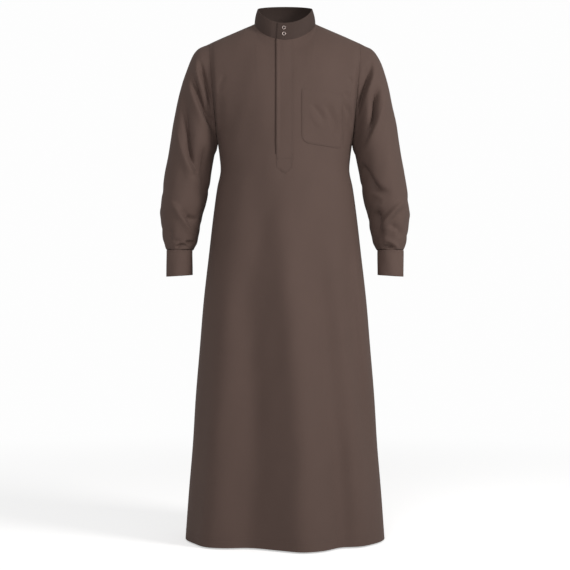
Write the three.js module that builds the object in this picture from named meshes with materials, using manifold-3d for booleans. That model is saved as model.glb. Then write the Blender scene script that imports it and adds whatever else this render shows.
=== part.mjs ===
// A plain brown thobe as worn: a band collar closed by two snaps, a half-front placket with a
// pointed end, a chest pocket, long sleeves in buttoned cuffs and a long flared skirt.
// Millimetres, +Z up, front towards -Y, the wearer's left towards +X. The origin lies between
// the shoulders, level with the highest point of the shoulders, where the wearer holds it.

import * as THREE from "three";
import { mergeVertices } from "three/addons/utils/BufferGeometryUtils.js";
import Module from "manifold-3d";

// Cloth walls and the gaps between pieces
const CLOTH_WALL = 1.4;
const COLLAR_WALL = 2.4;
const CUFF_WALL = 2.2;
const STRIP_WALL = 1.2;
const SEAM_GAP = 0.3;
const ON_PANEL_GAP = 0.8;
const BAND_SEAM_GAP = 0.45;
const LAP_STEP = 3.0;

// Where the panels end: neckline, shoulder point, underarm point and hem
const NECK = { halfWidth: 84, sideY: 8, sideZ: -4, frontY: -80, frontZ: -62, backY: 72, backZ: 10 };
const NECK_DROP_POWER = 1.3;
const SHOULDER = { x: 208, y: 5, z: -60 };
const UNDERARM = { x: 186, y: 0, z: -325 };
const ARMHOLE_DEPTH = { front: 84, back: 82 };
const HEM_Z = -1416;

// Grid of the body panels: t runs from side seam to side seam, -1 to 1
const NECK_SHARE = 0.27;
const NECK_CELLS = 12;
const SHOULDER_CELLS = 10;
const SKIRT_CELLS = 14;
const SKIRT_ROW_POWER = 1.5;
const CHEST_CELLS = 12;
const SIDE_ROUNDNESS = 0.87;

// Half width and the depths in front and behind of the body at each height
const BODY_ROWS = [
  { z: -1416, half: 273, front: 186, back: 172 },
  { z: -1292, half: 264, front: 181, back: 166 },
  { z: -1160, half: 253, front: 175, back: 160 },
  { z: -1028, half: 245, front: 169, back: 153 },
  { z: -896, half: 234, front: 162, back: 146 },
  { z: -764, half: 223, front: 155, back: 140 },
  { z: -632, half: 208, front: 149, back: 133 },
  { z: -544, half: 198, front: 144, back: 126 },
  { z: -456, half: 186, front: 139, back: 116 },
  { z: -412, half: 177, front: 136, back: 112 },
  { z: -368, half: 180, front: 132, back: 110 },
  { z: -325, half: 186, front: 128, back: 109 },
];

// Bezier handles of the columns above the underarm row: the low ones stand out from the row, and
// the high ones lie this far out and this high at the centre, falling towards the shoulder point
const CHEST_HANDLES = {
  lowOut: 8,
  lowZ: -150,
  centreOut: 104,
  sideOut: 75,
  crestZ: -18,
  fall: 52,
  neckDip: 94,
};
const BACK_HANDLES = {
  lowOut: 10,
  lowZ: -150,
  centreOut: 106,
  sideOut: 80,
  crestZ: -18,
  fall: 50,
  neckDip: 22,
};
const HANDLE_SPREAD = 0.6;
const NECK_DIP_SPREAD = 0.42;
const SHOULDER_FALL_POWER = 1.5;

// Skirt folds: angle and width in degrees round the body, height at the hem, and where each starts.
// Growth above 1 lets a fold still be widening where it meets the hem.
const FOLD_GROWTH = 1.25;
const FRONT_FOLDS = [
  { angle: -43, width: 10, height: 22, startZ: -600 },
  { angle: -20, width: 9, height: -14, startZ: -640 },
  { angle: 13, width: 13, height: 36, startZ: -540 },
  { angle: 31, width: 7, height: -10, startZ: -760 },
  { angle: 45, width: 7, height: 8, startZ: -800 },
];
const BACK_FOLDS = [
  { angle: -55, width: 8, height: 9, startZ: -820 },
  { angle: -36, width: 10, height: 19, startZ: -600 },
  { angle: -12, width: 10, height: -15, startZ: -660 },
  { angle: 10, width: 12, height: 25, startZ: -540 },
  { angle: 34, width: 8, height: -11, startZ: -720 },
  { angle: 50, width: 8, height: 12, startZ: -780 },
];

// Sleeve sections from the armhole to the cuff: outer edge, inner edge, depth in front and behind
const SLEEVE_ROWS = [
  { outX: 208, outZ: -60, inX: 186, inZ: -325, front: 84, back: 82 },
  { outX: 239, outZ: -78, inX: 187, inZ: -330, front: 83, back: 81 },
  { outX: 258, outZ: -104, inX: 188, inZ: -334, front: 81, back: 80 },
  { outX: 274, outZ: -148, inX: 189, inZ: -339, front: 79, back: 78 },
  { outX: 286, outZ: -192, inX: 190, inZ: -344, front: 78, back: 76 },
  { outX: 297, outZ: -236, inX: 191, inZ: -349, front: 77, back: 74 },
  { outX: 306, outZ: -280, inX: 192, inZ: -355, front: 77, back: 72 },
  { outX: 313, outZ: -324, inX: 193, inZ: -361, front: 77, back: 70 },
  { outX: 320, outZ: -368, inX: 195, inZ: -371, front: 77, back: 68 },
  { outX: 328, outZ: -412, inX: 203, inZ: -412, front: 77, back: 66 },
  { outX: 334, outZ: -456, inX: 209, inZ: -456, front: 77, back: 63 },
  { outX: 339, outZ: -500, inX: 218, inZ: -500, front: 76, back: 58 },
  { outX: 341, outZ: -530, inX: 227, inZ: -530, front: 74, back: 52 },
  { outX: 339, outZ: -560, inX: 232, inZ: -560, front: 71, back: 47 },
  { outX: 335, outZ: -588, inX: 238, inZ: -588, front: 67, back: 40 },
  { outX: 331, outZ: -608, inX: 242, inZ: -608, front: 64, back: 31 },
  { outX: 326, outZ: -621, inX: 249, inZ: -621, front: 62, back: 17 },
  { outX: 324, outZ: -627.7, inX: 252.5, inZ: -627.7, front: 60.5, back: 11 },
];
const SLEEVE_CELLS = 20;

// How a sleeve's creases fade towards its edges, its armhole and its cuff, in rows, and how many
// rows it takes the tube to leave the armhole's own slant
const FACING_FADE = 0.5;
const ARMHOLE_FADE_ROWS = 0.8;
const CUFF_FADE_ROWS = 1.5;
const ARMHOLE_SLANT_ROWS = 4;

// The largest creases: a path in the front view, half width, and height (a trough is negative).
// The fades are shares: of a crease's length at its ends, and of a panel's width and rise.
const CREASE_END_FADE = 0.3;
const SIDE_EDGE_FADE = 0.12;
const TOP_EDGE_FADE = 0.08;
const SLEEVE_CREASES = {
  left_front: [
    { path: [[220, -119], [203, -168], [194, -205]], width: 9, height: -5 },
    { path: [[236, -102], [236, -149], [222, -190], [205, -227], [190, -270]], width: 9, height: -7 },
    { path: [[268, -234], [243, -262], [234, -304], [214, -334]], width: 10, height: -7 },
    { path: [[214, -440], [246, -470], [286, -494]], width: 12, height: -6 },
    { path: [[322, -492], [289, -526], [250, -583]], width: 11, height: 7 },
    { path: [[284, -548], [318, -580]], width: 10, height: -5 },
  ],
  left_back: [
    { path: [[232, -112], [222, -170], [206, -232], [194, -284]], width: 10, height: -7 },
    { path: [[284, -300], [250, -330], [216, -346]], width: 11, height: -6 },
    { path: [[330, -452], [286, -482], [232, -492]], width: 12, height: -7 },
    { path: [[246, -520], [286, -556], [322, -600]], width: 11, height: 7 },
  ],
  right_front: [
    { path: [[-233, -112], [-219, -172], [-203, -215], [-191, -264]], width: 9, height: -7 },
    { path: [[-243, -200], [-229, -254], [-201, -308], [-189, -336]], width: 10, height: -7 },
    { path: [[-286, -244], [-268, -359], [-236, -467]], width: 12, height: -6 },
    { path: [[-308, -496], [-267, -553], [-244, -600]], width: 11, height: 7 },
    { path: [[-286, -540], [-250, -545]], width: 10, height: -5 },
  ],
  right_back: [
    { path: [[-226, -104], [-224, -160], [-208, -218], [-192, -276]], width: 10, height: -8 },
    { path: [[-276, -262], [-246, -306], [-212, -338]], width: 11, height: -6 },
    { path: [[-328, -438], [-288, -478], [-236, -506]], width: 12, height: -7 },
    { path: [[-322, -540], [-288, -566], [-248, -590]], width: 11, height: 6 },
  ],
};
const PANEL_CREASES = {
  front: [
    { path: [[-116, -214], [-146, -290], [-160, -350]], width: 14, height: -4 },
    { path: [[-172, -200], [-178, -262], [-168, -330]], width: 11, height: -4 },
  ],
  back: [
    { path: [[-150, -150], [-166, -240], [-152, -330]], width: 14, height: -5 },
    { path: [[148, -170], [162, -250], [140, -350]], width: 15, height: -5 },
    { path: [[-60, -60], [0, -76], [64, -58]], width: 13, height: -3 },
  ],
};

// Placket, the slit beside its free edge and the strip that backs the slit
const PLACKET = { leftX: -22.5, rightX: 22, tipX: 0, cornerZ: -410, tipZ: -430, rows: 16, belowNeck: 1.4 };
const PLACKET_COLUMNS = [-22.5, -15, -7.5, 0, 7.5, 15, 22];
const SLIT = { leftX: -24.6, rightX: -23.0, endZ: -375, nearY: -40, farY: -190 };
const UNDERLAP = { leftX: -40, rightX: -8, endZ: -402, columns: 5, rows: 16, belowNeck: 3 };

// Chest pocket: its four corners in the front view and the cut lower corners
const POCKET = {
  topLeft: [45, -200],
  topRight: [157, -212],
  bottomLeft: [45, -343],
  bottomRight: [156, -358],
  cornerCut: 17,
  columns: [0, 0.075, 0.15, 0.29, 0.43, 0.56, 0.68, 0.77, 0.85, 0.925, 1],
  rows: 11,
};

// Collar and cuff bands: each is one strip whose ends lap at angle 0
const BAND_STEP = 15;
const BAND_LAP_CELLS = 1;
const BAND_CELLS = 360 / BAND_STEP + 2 * BAND_LAP_CELLS;
const COLLAR_TOP = { halfWidth: 75, sideY: 0, sideZ: 36, frontY: -68, frontZ: -14, backY: 62, backZ: 54 };
const COLLAR_BULGE = 2;
const COLLAR_ROWS = 3;
const CUFF = { x: 288.25, y: -24.75, radius: 35.75, topZ: -628.1, bottomZ: -698, tilt: 2.2, rows: 3 };

// Fasteners
const SNAP = { radius: 5.5, height: 1.6, rim: 1.9, dish: 0.7, x: -3, rises: [0.36, 0.71] };
const RIM = { wallShare: 0.6, outerShare: 0.35, innerShare: 0.75 };
const CUFF_BUTTON = { radius: 5.75, height: 2.6, rim: 1.6, dish: 0.6, rise: 0.5 };
const FASTENER_SIDES = 16;
const FASTENER_GAP = 0.35;

const CLOTH_COLOUR = 0x604d46;
const SNAP_COLOUR = 0xb9a8a2;
const BUTTON_COLOUR = 0x4a3a34;

const DERIVATIVE_STEP = 1e-4;
const NEWTON_ROUNDS = 25;
const MERGE_DISTANCE = 1e-4;
const QUARTER_TURN = Math.PI / 2;

// Small helpers for numbers
const mix = (from, to, share) => from + (to - from) * share;
const clamp = (value, low, high) => Math.min(high, Math.max(low, value));
const radians = (degrees) => (degrees * Math.PI) / 180;

function smooth(share) {
  const s = clamp(share, 0, 1);
  return s * s * (3 - 2 * s);
}

function evenSteps(from, to, cells) {
  return Array.from({ length: cells + 1 }, (_, index) => mix(from, to, index / cells));
}

// A smooth curve through one column of a table, whose rows lie at the given positions
function readCurve(positions, values, at) {
  const last = positions.length - 1;
  let index = 0;
  while (index < last - 1 && at > positions[index + 1]) index += 1;
  const slope = (k) => {
    const low = Math.max(0, k - 1);
    const high = Math.min(last, k + 1);
    return (values[high] - values[low]) / (positions[high] - positions[low]);
  };
  const span = positions[index + 1] - positions[index];
  const s = clamp((at - positions[index]) / span, 0, 1);
  const square = s * s;
  const cube = square * s;
  return (
    (2 * cube - 3 * square + 1) * values[index] +
    (cube - 2 * square + s) * span * slope(index) +
    (3 * square - 2 * cube) * values[index + 1] +
    (cube - square) * span * slope(index + 1)
  );
}

const BODY_HEIGHTS = BODY_ROWS.map((row) => row.z);
const bodySize = (column, z) => readCurve(BODY_HEIGHTS, BODY_ROWS.map((row) => row[column]), z);
const SLEEVE_PLACES = SLEEVE_ROWS.map((_, index) => index);
const sleeveSize = (column, u) => readCurve(SLEEVE_PLACES, SLEEVE_ROWS.map((row) => row[column]), u);

// How far the creases lift a point, from its distance to each path in the front view
function creaseLift(creases, x, z) {
  let lift = 0;
  for (const { path, width, height } of creases) {
    const lengths = path.slice(1).map((end, k) => Math.hypot(end[0] - path[k][0], end[1] - path[k][1]));
    const total = lengths.reduce((sum, length) => sum + length, 0);
    let nearest = Infinity;
    let along = 0;
    let walked = 0;
    lengths.forEach((length, k) => {
      const [startX, startZ] = path[k];
      const dx = (path[k + 1][0] - startX) / length;
      const dz = (path[k + 1][1] - startZ) / length;
      const reach = clamp((x - startX) * dx + (z - startZ) * dz, 0, length);
      const distance = Math.hypot(x - startX - reach * dx, z - startZ - reach * dz);
      if (distance < nearest) {
        nearest = distance;
        along = (walked + reach) / total;
      }
      walked += length;
    });
    const fade = smooth(Math.min(along, 1 - along) / CREASE_END_FADE);
    lift += height * fade * Math.exp(-((nearest / width) ** 2) / 2);
  }
  return lift;
}

// Body panels. side is -1 in front and 1 behind; t is -1 to 1 across, s is 0 at the hem,
// 1 at the underarm row and 2 at the shoulder seams and neckline.
const panelName = (side) => (side < 0 ? "front" : "back");

function skirtFoldLift(side, degrees, z) {
  const folds = side < 0 ? FRONT_FOLDS : BACK_FOLDS;
  return folds.reduce((lift, fold) => {
    const fallen = (fold.startZ - z) / (fold.startZ - HEM_Z);
    const grown = smooth(fallen / FOLD_GROWTH) / smooth(1 / FOLD_GROWTH);
    return lift + fold.height * grown * Math.exp(-(((degrees - fold.angle) / fold.width) ** 2) / 2);
  }, 0);
}

function skirtPoint(side, t, z) {
  const angle = t * QUARTER_TURN;
  const lift = skirtFoldLift(side, t * 90, z);
  const across = bodySize("half", z) * Math.sin(angle);
  const depth = bodySize(panelName(side), z) * Math.max(0, Math.cos(angle)) ** SIDE_ROUNDNESS;
  return new THREE.Vector3(across + lift * Math.sin(angle), side * (depth + lift * Math.cos(angle)), z);
}

// The armhole's half on one side of the body: v is 0 at the underarm and 1 at the shoulder
function armholePoint(side, v) {
  const middleZ = (SHOULDER.z + UNDERARM.z) / 2;
  const halfHeight = (SHOULDER.z - UNDERARM.z) / 2;
  const rise = (1 - Math.cos(Math.PI * v)) / 2;
  return new THREE.Vector3(
    mix(UNDERARM.x, SHOULDER.x, rise),
    mix(UNDERARM.y, SHOULDER.y, rise) + side * ARMHOLE_DEPTH[panelName(side)] * Math.sin(Math.PI * v),
    middleZ - halfHeight * Math.cos(Math.PI * v),
  );
}

// A ring round the neck: angle 0 is the front, a quarter turn is the side
function neckRing(ring, angle, widthSign) {
  const toFront = Math.cos(angle);
  const end = toFront >= 0 ? "front" : "back";
  const power = toFront >= 0 ? NECK_DROP_POWER : 1;
  return new THREE.Vector3(
    widthSign * ring.halfWidth * Math.sin(angle),
    mix(ring.sideY, ring[`${end}Y`], Math.abs(toFront)),
    mix(ring.sideZ, ring[`${end}Z`], Math.abs(toFront) ** power),
  );
}

// The upper edge of a panel: the neckline, then the shoulder seam on each side
function panelTop(side, t) {
  const reach = Math.abs(t);
  const sign = Math.sign(t);
  if (reach <= NECK_SHARE) {
    const angle = (reach / NECK_SHARE) * QUARTER_TURN;
    return neckRing(NECK, side < 0 ? angle : Math.PI - angle, sign);
  }
  const along = (reach - NECK_SHARE) / (1 - NECK_SHARE);
  return new THREE.Vector3(
    sign * mix(NECK.halfWidth, SHOULDER.x, along),
    mix(NECK.sideY, SHOULDER.y, along),
    mix(NECK.sideZ, SHOULDER.z, along),
  );
}

// One column above the underarm row, as a Bezier curve in depth and height
function panelColumn(side, t, v) {
  const handles = side < 0 ? CHEST_HANDLES : BACK_HANDLES;
  const top = panelTop(side, t);
  const reach = Math.abs(t);
  const low = [side * bodySize(panelName(side), UNDERARM.z), UNDERARM.z];
  const lowHandle = [low[0] + side * handles.lowOut, handles.lowZ];
  const dip = handles.neckDip * (1 - smooth(reach / NECK_DIP_SPREAD));
  const highHandle = [
    side * mix(handles.centreOut, handles.sideOut, smooth(reach / HANDLE_SPREAD)),
    handles.crestZ - handles.fall * reach ** SHOULDER_FALL_POWER - dip,
  ];
  const high = [top.y, top.z];
  const weights = [(1 - v) ** 3, 3 * v * (1 - v) ** 2, 3 * v * v * (1 - v), v ** 3];
  const place = (axis) =>
    [low, lowHandle, highHandle, high].reduce((sum, point, k) => sum + weights[k] * point[axis], 0);
  return { y: place(0), z: place(1) };
}

function chestPoint(side, t, v) {
  const edge = armholePoint(side, v);
  const column = panelColumn(side, t, v);
  const edgeColumn = panelColumn(side, Math.sign(t) || 1, v);
  const toEdge = 1 - Math.max(0, Math.cos(t * QUARTER_TURN)) ** SIDE_ROUNDNESS;
  const spread = mix(Math.sin(t * QUARTER_TURN), panelTop(side, t).x / SHOULDER.x, v);
  return new THREE.Vector3(
    edge.x * spread,
    column.y + toEdge * (edge.y - edgeColumn.y),
    column.z + toEdge * (edge.z - edgeColumn.z),
  );
}

function panelPoint(side, s, t) {
  const point = s <= 1 ? skirtPoint(side, t, mix(HEM_Z, UNDERARM.z, s)) : chestPoint(side, t, s - 1);
  const awayFromEdges = smooth((1 - Math.abs(t)) / SIDE_EDGE_FADE) * smooth((2 - s) / TOP_EDGE_FADE);
  point.y += side * (creaseLift(PANEL_CREASES[panelName(side)], point.x, point.z) * awayFromEdges);
  point.y += (side * SEAM_GAP) / 2;
  return point;
}

// Side seams below the armholes and shoulder seams beside the neckline
const onPanelSeam = (s, t) => (s <= 1 && Math.abs(t) >= 1) || (s >= 2 && Math.abs(t) >= NECK_SHARE);

const PANEL_COLUMNS = [
  ...evenSteps(-1, -NECK_SHARE, SHOULDER_CELLS).slice(0, -1),
  ...evenSteps(-NECK_SHARE, NECK_SHARE, NECK_CELLS),
  ...evenSteps(NECK_SHARE, 1, SHOULDER_CELLS).slice(1),
];
const SKIRT_ROWS = evenSteps(1, 0, SKIRT_CELLS).map((share) => 1 - share ** SKIRT_ROW_POWER);
const PANEL_ROWS = [...SKIRT_ROWS.slice(0, -1), ...evenSteps(1, 2, CHEST_CELLS)];

// Sleeves. sign is 1 on the wearer's left; u runs along the table's rows; turn is 0 at the
// inner edge, a quarter at the front, a half at the outer edge and three quarters at the back.
function sleevePoint(sign, u, turn) {
  const angle = turn * 2 * Math.PI;
  const outward = (1 - Math.cos(angle)) / 2;
  const side = Math.sin(angle) >= 0 ? -1 : 1;
  const depth = Math.abs(Math.sin(angle)) * sleeveSize(panelName(side), u);
  const x = sign * (mix(sleeveSize("inX", u), sleeveSize("outX", u), outward) + SEAM_GAP);
  const z = mix(sleeveSize("inZ", u), sleeveSize("outZ", u), outward);
  const creases = SLEEVE_CREASES[`${sign > 0 ? "left" : "right"}_${panelName(side)}`];
  const facing = smooth(Math.abs(Math.sin(angle)) / FACING_FADE);
  const rowsLeft = SLEEVE_ROWS.length - 1 - u;
  const awayFromEnds = smooth(u / ARMHOLE_FADE_ROWS) * smooth(rowsLeft / CUFF_FADE_ROWS);
  const lift = creaseLift(creases, x, z) * facing * awayFromEnds;
  const seamY = mix(UNDERARM.y, SHOULDER.y, outward) * smooth(1 - u / ARMHOLE_SLANT_ROWS);
  return new THREE.Vector3(x, seamY + side * (depth + lift), z);
}

// The collar's and a cuff's strips: angle in degrees from the lap, rise 0 at the lower edge.
// The strip's first end lies under its last one, so it is stepped in there.
function lapStep(degrees) {
  return LAP_STEP * (1 - smooth((degrees - BAND_STEP) / BAND_STEP));
}

function collarPoint(rise, degrees) {
  const angle = radians(degrees);
  const low = neckRing(NECK, angle, -1);
  const high = neckRing(COLLAR_TOP, angle, -1);
  const outward = new THREE.Vector3(-Math.sin(angle), -Math.cos(angle), 0);
  const swell = COLLAR_BULGE * Math.sin(Math.PI * rise) - lapStep(degrees);
  low.z += BAND_SEAM_GAP;
  return low.lerp(high, rise).addScaledVector(outward, swell);
}

function cuffPoint(sign, rise, degrees) {
  const angle = radians(degrees);
  const radius = CUFF.radius - lapStep(degrees);
  const bottomZ = CUFF.bottomZ + CUFF.tilt * Math.sin(angle);
  return new THREE.Vector3(
    sign * (CUFF.x - radius * Math.sin(angle)),
    CUFF.y + radius * Math.cos(angle),
    mix(bottomZ, CUFF.topZ, rise),
  );
}

const BAND_ANGLES = Array.from({ length: BAND_CELLS + 1 }, (_, k) => (k - BAND_LAP_CELLS) * BAND_STEP);

// The direction square to a surface, along rows crossed with columns
function surfaceNormal(surface, row, column, rowRange, columnRange) {
  const step = DERIVATIVE_STEP;
  const difference = (value, range, pointAt) => {
    const span = range[1] - range[0];
    const low = range[2] ? value - step * span : Math.max(range[0], value - step * span);
    const high = range[2] ? value + step * span : Math.min(range[1], value + step * span);
    return pointAt(high).sub(pointAt(low));
  };
  const alongColumn = difference(column, columnRange, (value) => surface(row, value));
  const alongRow = difference(row, rowRange, (value) => surface(value, column));
  return alongColumn.cross(alongRow).normalize();
}

// A closed wall of cloth. surface(row, column) is its outer face, turning 1 or -1 says which way
// is out, and a closed wall runs all round, so its first and last columns are one. Where onSeam
// holds, the wall's edge is square to the depth axis, so that it meets the next piece face to face.
function clothWall(surface, rows, columns, thickness, turning, options = {}) {
  const { closed = false, onSeam = () => false } = options;
  const across = closed ? columns.length - 1 : columns.length;
  const rowRange = [rows[0], rows[rows.length - 1], false];
  const columnRange = [columns[0], columns[columns.length - 1], closed];
  const positions = [];
  const outer = (r, c) => r * across + (c % across);
  const inner = (r, c) => rows.length * across + outer(r, c);
  const insidePoints = [];
  rows.forEach((row) => {
    for (let c = 0; c < across; c += 1) {
      const point = surface(row, columns[c]);
      const normal = surfaceNormal(surface, row, columns[c], rowRange, columnRange);
      if (onSeam(row, columns[c])) normal.setY(0).normalize();
      positions.push(...point.toArray());
      insidePoints.push(...point.addScaledVector(normal, -turning * thickness).toArray());
    }
  });
  positions.push(...insidePoints);

  const quads = [];
  const lastRow = rows.length - 1;
  const lastColumn = columns.length - 1;
  for (let r = 0; r < lastRow; r += 1) {
    for (let c = 0; c < lastColumn; c += 1) {
      quads.push([outer(r, c), outer(r, c + 1), outer(r + 1, c + 1), outer(r + 1, c)]);
      quads.push([inner(r, c), inner(r + 1, c), inner(r + 1, c + 1), inner(r, c + 1)]);
    }
  }
  for (let c = 0; c < lastColumn; c += 1) {
    quads.push([outer(0, c + 1), outer(0, c), inner(0, c), inner(0, c + 1)]);
    quads.push([outer(lastRow, c), outer(lastRow, c + 1), inner(lastRow, c + 1), inner(lastRow, c)]);
  }
  for (let r = 0; r < lastRow && !closed; r += 1) {
    quads.push([outer(r, 0), outer(r + 1, 0), inner(r + 1, 0), inner(r, 0)]);
    const end = lastColumn;
    quads.push([outer(r + 1, end), outer(r, end), inner(r, end), inner(r + 1, end)]);
  }
  const outwards = ([a, b, c, d]) => [a, b, c, a, c, d];
  const inwards = ([a, b, c, d]) => [a, c, b, a, d, c];
  const indices = quads.flatMap(turning > 0 ? outwards : inwards);
  return geometryFrom(positions, indices);
}

function geometryFrom(positions, indices) {
  const geometry = new THREE.BufferGeometry();
  geometry.setAttribute("position", new THREE.Float32BufferAttribute(positions, 3));
  geometry.setIndex(Array.from(indices));
  geometry.computeVertexNormals();
  return geometry;
}

// A point on the flat facets between the front panel's own grid points
function frontFacetPoint(s, t) {
  const cellOf = (steps, value) => {
    const next = steps.findIndex((step) => step > value);
    return next < 0 ? steps.length - 2 : Math.max(0, next - 1);
  };
  const shareOf = (steps, cell, value) => (value - steps[cell]) / (steps[cell + 1] - steps[cell]);
  const row = cellOf(PANEL_ROWS, s);
  const column = cellOf(PANEL_COLUMNS, t);
  const up = shareOf(PANEL_ROWS, row, s);
  const along = shareOf(PANEL_COLUMNS, column, t);
  const corner = (r, c) => panelPoint(-1, PANEL_ROWS[row + r], PANEL_COLUMNS[column + c]);
  const near = corner(0, 0);
  const far = corner(1, 1);
  const side = along >= up ? corner(0, 1) : corner(1, 0);
  const toSide = Math.abs(along - up);
  const toFar = Math.min(along, up);
  near.multiplyScalar(1 - toSide - toFar);
  return near.addScaledVector(side, toSide).addScaledVector(far, toFar);
}

// The place on the front panel that shows at x and z in the front view
function frontPlaceAt(x, z) {
  const inSkirt = (z - HEM_Z) / (UNDERARM.z - HEM_Z);
  const inChest = 1 + (z - UNDERARM.z) / (NECK.frontZ - UNDERARM.z);
  let s = z < UNDERARM.z ? inSkirt : inChest;
  let t = Math.asin(clamp(x / bodySize("half", z), -1, 1)) / QUARTER_TURN;
  for (let round = 0; round < NEWTON_ROUNDS; round += 1) {
    const here = panelPoint(-1, s, t);
    const alongS = panelPoint(-1, s + DERIVATIVE_STEP, t).sub(here).divideScalar(DERIVATIVE_STEP);
    const alongT = panelPoint(-1, s, t + DERIVATIVE_STEP).sub(here).divideScalar(DERIVATIVE_STEP);
    const area = alongS.x * alongT.z - alongS.z * alongT.x;
    const missX = x - here.x;
    const missZ = z - here.z;
    s = clamp(s + (missX * alongT.z - missZ * alongT.x) / area, 0, 2);
    t = clamp(t + (alongS.x * missZ - alongS.z * missX) / area, -1, 1);
  }
  return { s, t };
}

// A surface that lies on the front panel, moved out along the panel's normal
function onFront(x, z, moveOut) {
  const { s, t } = frontPlaceAt(x, z);
  const front = (row, column) => panelPoint(-1, row, column);
  const normal = surfaceNormal(front, s, t, [0, 2, false], [-1, 1, false]);
  return frontFacetPoint(s, t).addScaledVector(normal, moveOut);
}

const necklineZ = (x) => neckRing(NECK, Math.asin(x / NECK.halfWidth), 1).z;

function placketSurface(rise, x) {
  const toTip = x < PLACKET.tipX ? x / PLACKET.leftX : x / PLACKET.rightX;
  const bottomZ = mix(PLACKET.tipZ, PLACKET.cornerZ, toTip);
  const topZ = necklineZ(x) - PLACKET.belowNeck;
  return onFront(x, mix(bottomZ, topZ, rise), ON_PANEL_GAP + STRIP_WALL);
}

function underlapSurface(rise, x) {
  const topZ = necklineZ(x) - UNDERLAP.belowNeck;
  return onFront(x, mix(UNDERLAP.endZ, topZ, rise), -CLOTH_WALL - ON_PANEL_GAP);
}

function pocketSurface(rise, share) {
  const width = POCKET.topRight[0] - POCKET.topLeft[0];
  const toSide = Math.min(share, 1 - share) * width;
  const cut = Math.max(0, POCKET.cornerCut - toSide);
  const bottomX = mix(POCKET.bottomLeft[0], POCKET.bottomRight[0], share);
  const bottomZ = mix(POCKET.bottomLeft[1], POCKET.bottomRight[1], share) + cut;
  const topX = mix(POCKET.topLeft[0], POCKET.topRight[0], share);
  const topZ = mix(POCKET.topLeft[1], POCKET.topRight[1], share);
  return onFront(mix(bottomX, topX, rise), mix(bottomZ, topZ, rise), ON_PANEL_GAP + STRIP_WALL);
}

// The front with its slit cut through beside the placket
async function slitFront(geometry) {
  const wasm = await Module();
  wasm.setup();
  const solidOf = (source) => {
    const plain = source.clone();
    plain.deleteAttribute("normal");
    plain.deleteAttribute("uv");
    const merged = mergeVertices(plain, MERGE_DISTANCE);
    return new wasm.Manifold(
      new wasm.Mesh({
        numProp: 3,
        vertProperties: new Float32Array(merged.attributes.position.array),
        triVerts: new Uint32Array(merged.index.array),
      }),
    );
  };
  const height = NECK.sideZ - SLIT.endZ;
  const cutter = new THREE.BoxGeometry(SLIT.rightX - SLIT.leftX, SLIT.nearY - SLIT.farY, height);
  const middleX = (SLIT.leftX + SLIT.rightX) / 2;
  const middleY = (SLIT.nearY + SLIT.farY) / 2;
  cutter.translate(middleX, middleY, SLIT.endZ + height / 2);
  const cut = solidOf(geometry).subtract(solidOf(cutter)).getMesh();
  return geometryFrom(Array.from(cut.vertProperties), cut.triVerts);
}

// A round fastener with a raised rim and a dished middle, its back on the XZ plane
function fastenerGeometry({ radius, height, rim, dish }) {
  const outline = [
    [0, 0],
    [radius, 0],
    [radius, height * RIM.wallShare],
    [radius - rim * RIM.outerShare, height],
    [radius - rim * RIM.innerShare, height],
    [radius - rim, height - dish],
    [0, height - dish],
  ];
  const profile = outline.map(([x, y]) => new THREE.Vector2(x, y));
  const turned = new THREE.LatheGeometry(profile, FASTENER_SIDES);
  turned.deleteAttribute("normal");
  turned.deleteAttribute("uv");
  return mergeVertices(turned);
}

function material(color, roughness, metalness) {
  return new THREE.MeshStandardMaterial({ color, roughness, metalness });
}

function piece(name, geometry, color = CLOTH_COLOUR, roughness = 0.9, metalness = 0) {
  const mesh = new THREE.Mesh(geometry, material(color, roughness, metalness));
  mesh.name = name;
  return mesh;
}

// Set a fastener on a band's surface, standing off it along its normal
function seat(mesh, surface, rise, degrees, turning, shift = 0) {
  const point = surface(rise, degrees);
  const angleRange = [BAND_ANGLES[0], BAND_ANGLES.at(-1), true];
  const normal = surfaceNormal(surface, rise, degrees, [0, 1, false], angleRange);
  normal.multiplyScalar(turning);
  mesh.quaternion.setFromUnitVectors(new THREE.Vector3(0, 1, 0), normal);
  mesh.position.copy(point).addScaledVector(normal, FASTENER_GAP);
  mesh.position.x += shift;
  return mesh;
}

function panelWall(side) {
  const surface = (s, t) => panelPoint(side, s, t);
  return clothWall(surface, PANEL_ROWS, PANEL_COLUMNS, CLOTH_WALL, -side, { onSeam: onPanelSeam });
}

function makeBody(frontGeometry) {
  const back = panelWall(1);
  const body = new THREE.Group();
  body.add(piece("front", frontGeometry), piece("back", back));
  return body;
}

function makeSleeve(name, sign) {
  const rings = evenSteps(0, SLEEVE_ROWS.length - 1, SLEEVE_CELLS);
  const turns = evenSteps(0, 1, 2 * CHEST_CELLS);
  const round = (u, turn) => sleevePoint(sign, u, turn);
  const tube = clothWall(round, rings, turns, CLOTH_WALL, -sign, { closed: true });
  const surface = (rise, degrees) => cuffPoint(sign, rise, degrees);
  const band = clothWall(surface, evenSteps(0, 1, CUFF.rows), BAND_ANGLES, CUFF_WALL, sign);
  const button = piece(`cuff_button_${name}`, fastenerGeometry(CUFF_BUTTON), BUTTON_COLOUR, 0.45, 0);
  const sleeve = new THREE.Group();
  sleeve.add(piece(`sleeve_${name}`, tube), piece(`cuff_${name}`, band));
  sleeve.add(seat(button, surface, CUFF_BUTTON.rise, 360, sign));
  return sleeve;
}

function makeCollar() {
  const band = clothWall(collarPoint, evenSteps(0, 1, COLLAR_ROWS), BAND_ANGLES, COLLAR_WALL, -1);
  const collar = new THREE.Group();
  collar.add(piece("collar", band));
  ["collar_snap_lower", "collar_snap_upper"].forEach((name, k) => {
    const snap = piece(name, fastenerGeometry(SNAP), SNAP_COLOUR, 0.35, 0.8);
    collar.add(seat(snap, collarPoint, SNAP.rises[k], 360, -1, SNAP.x));
  });
  return collar;
}

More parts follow.
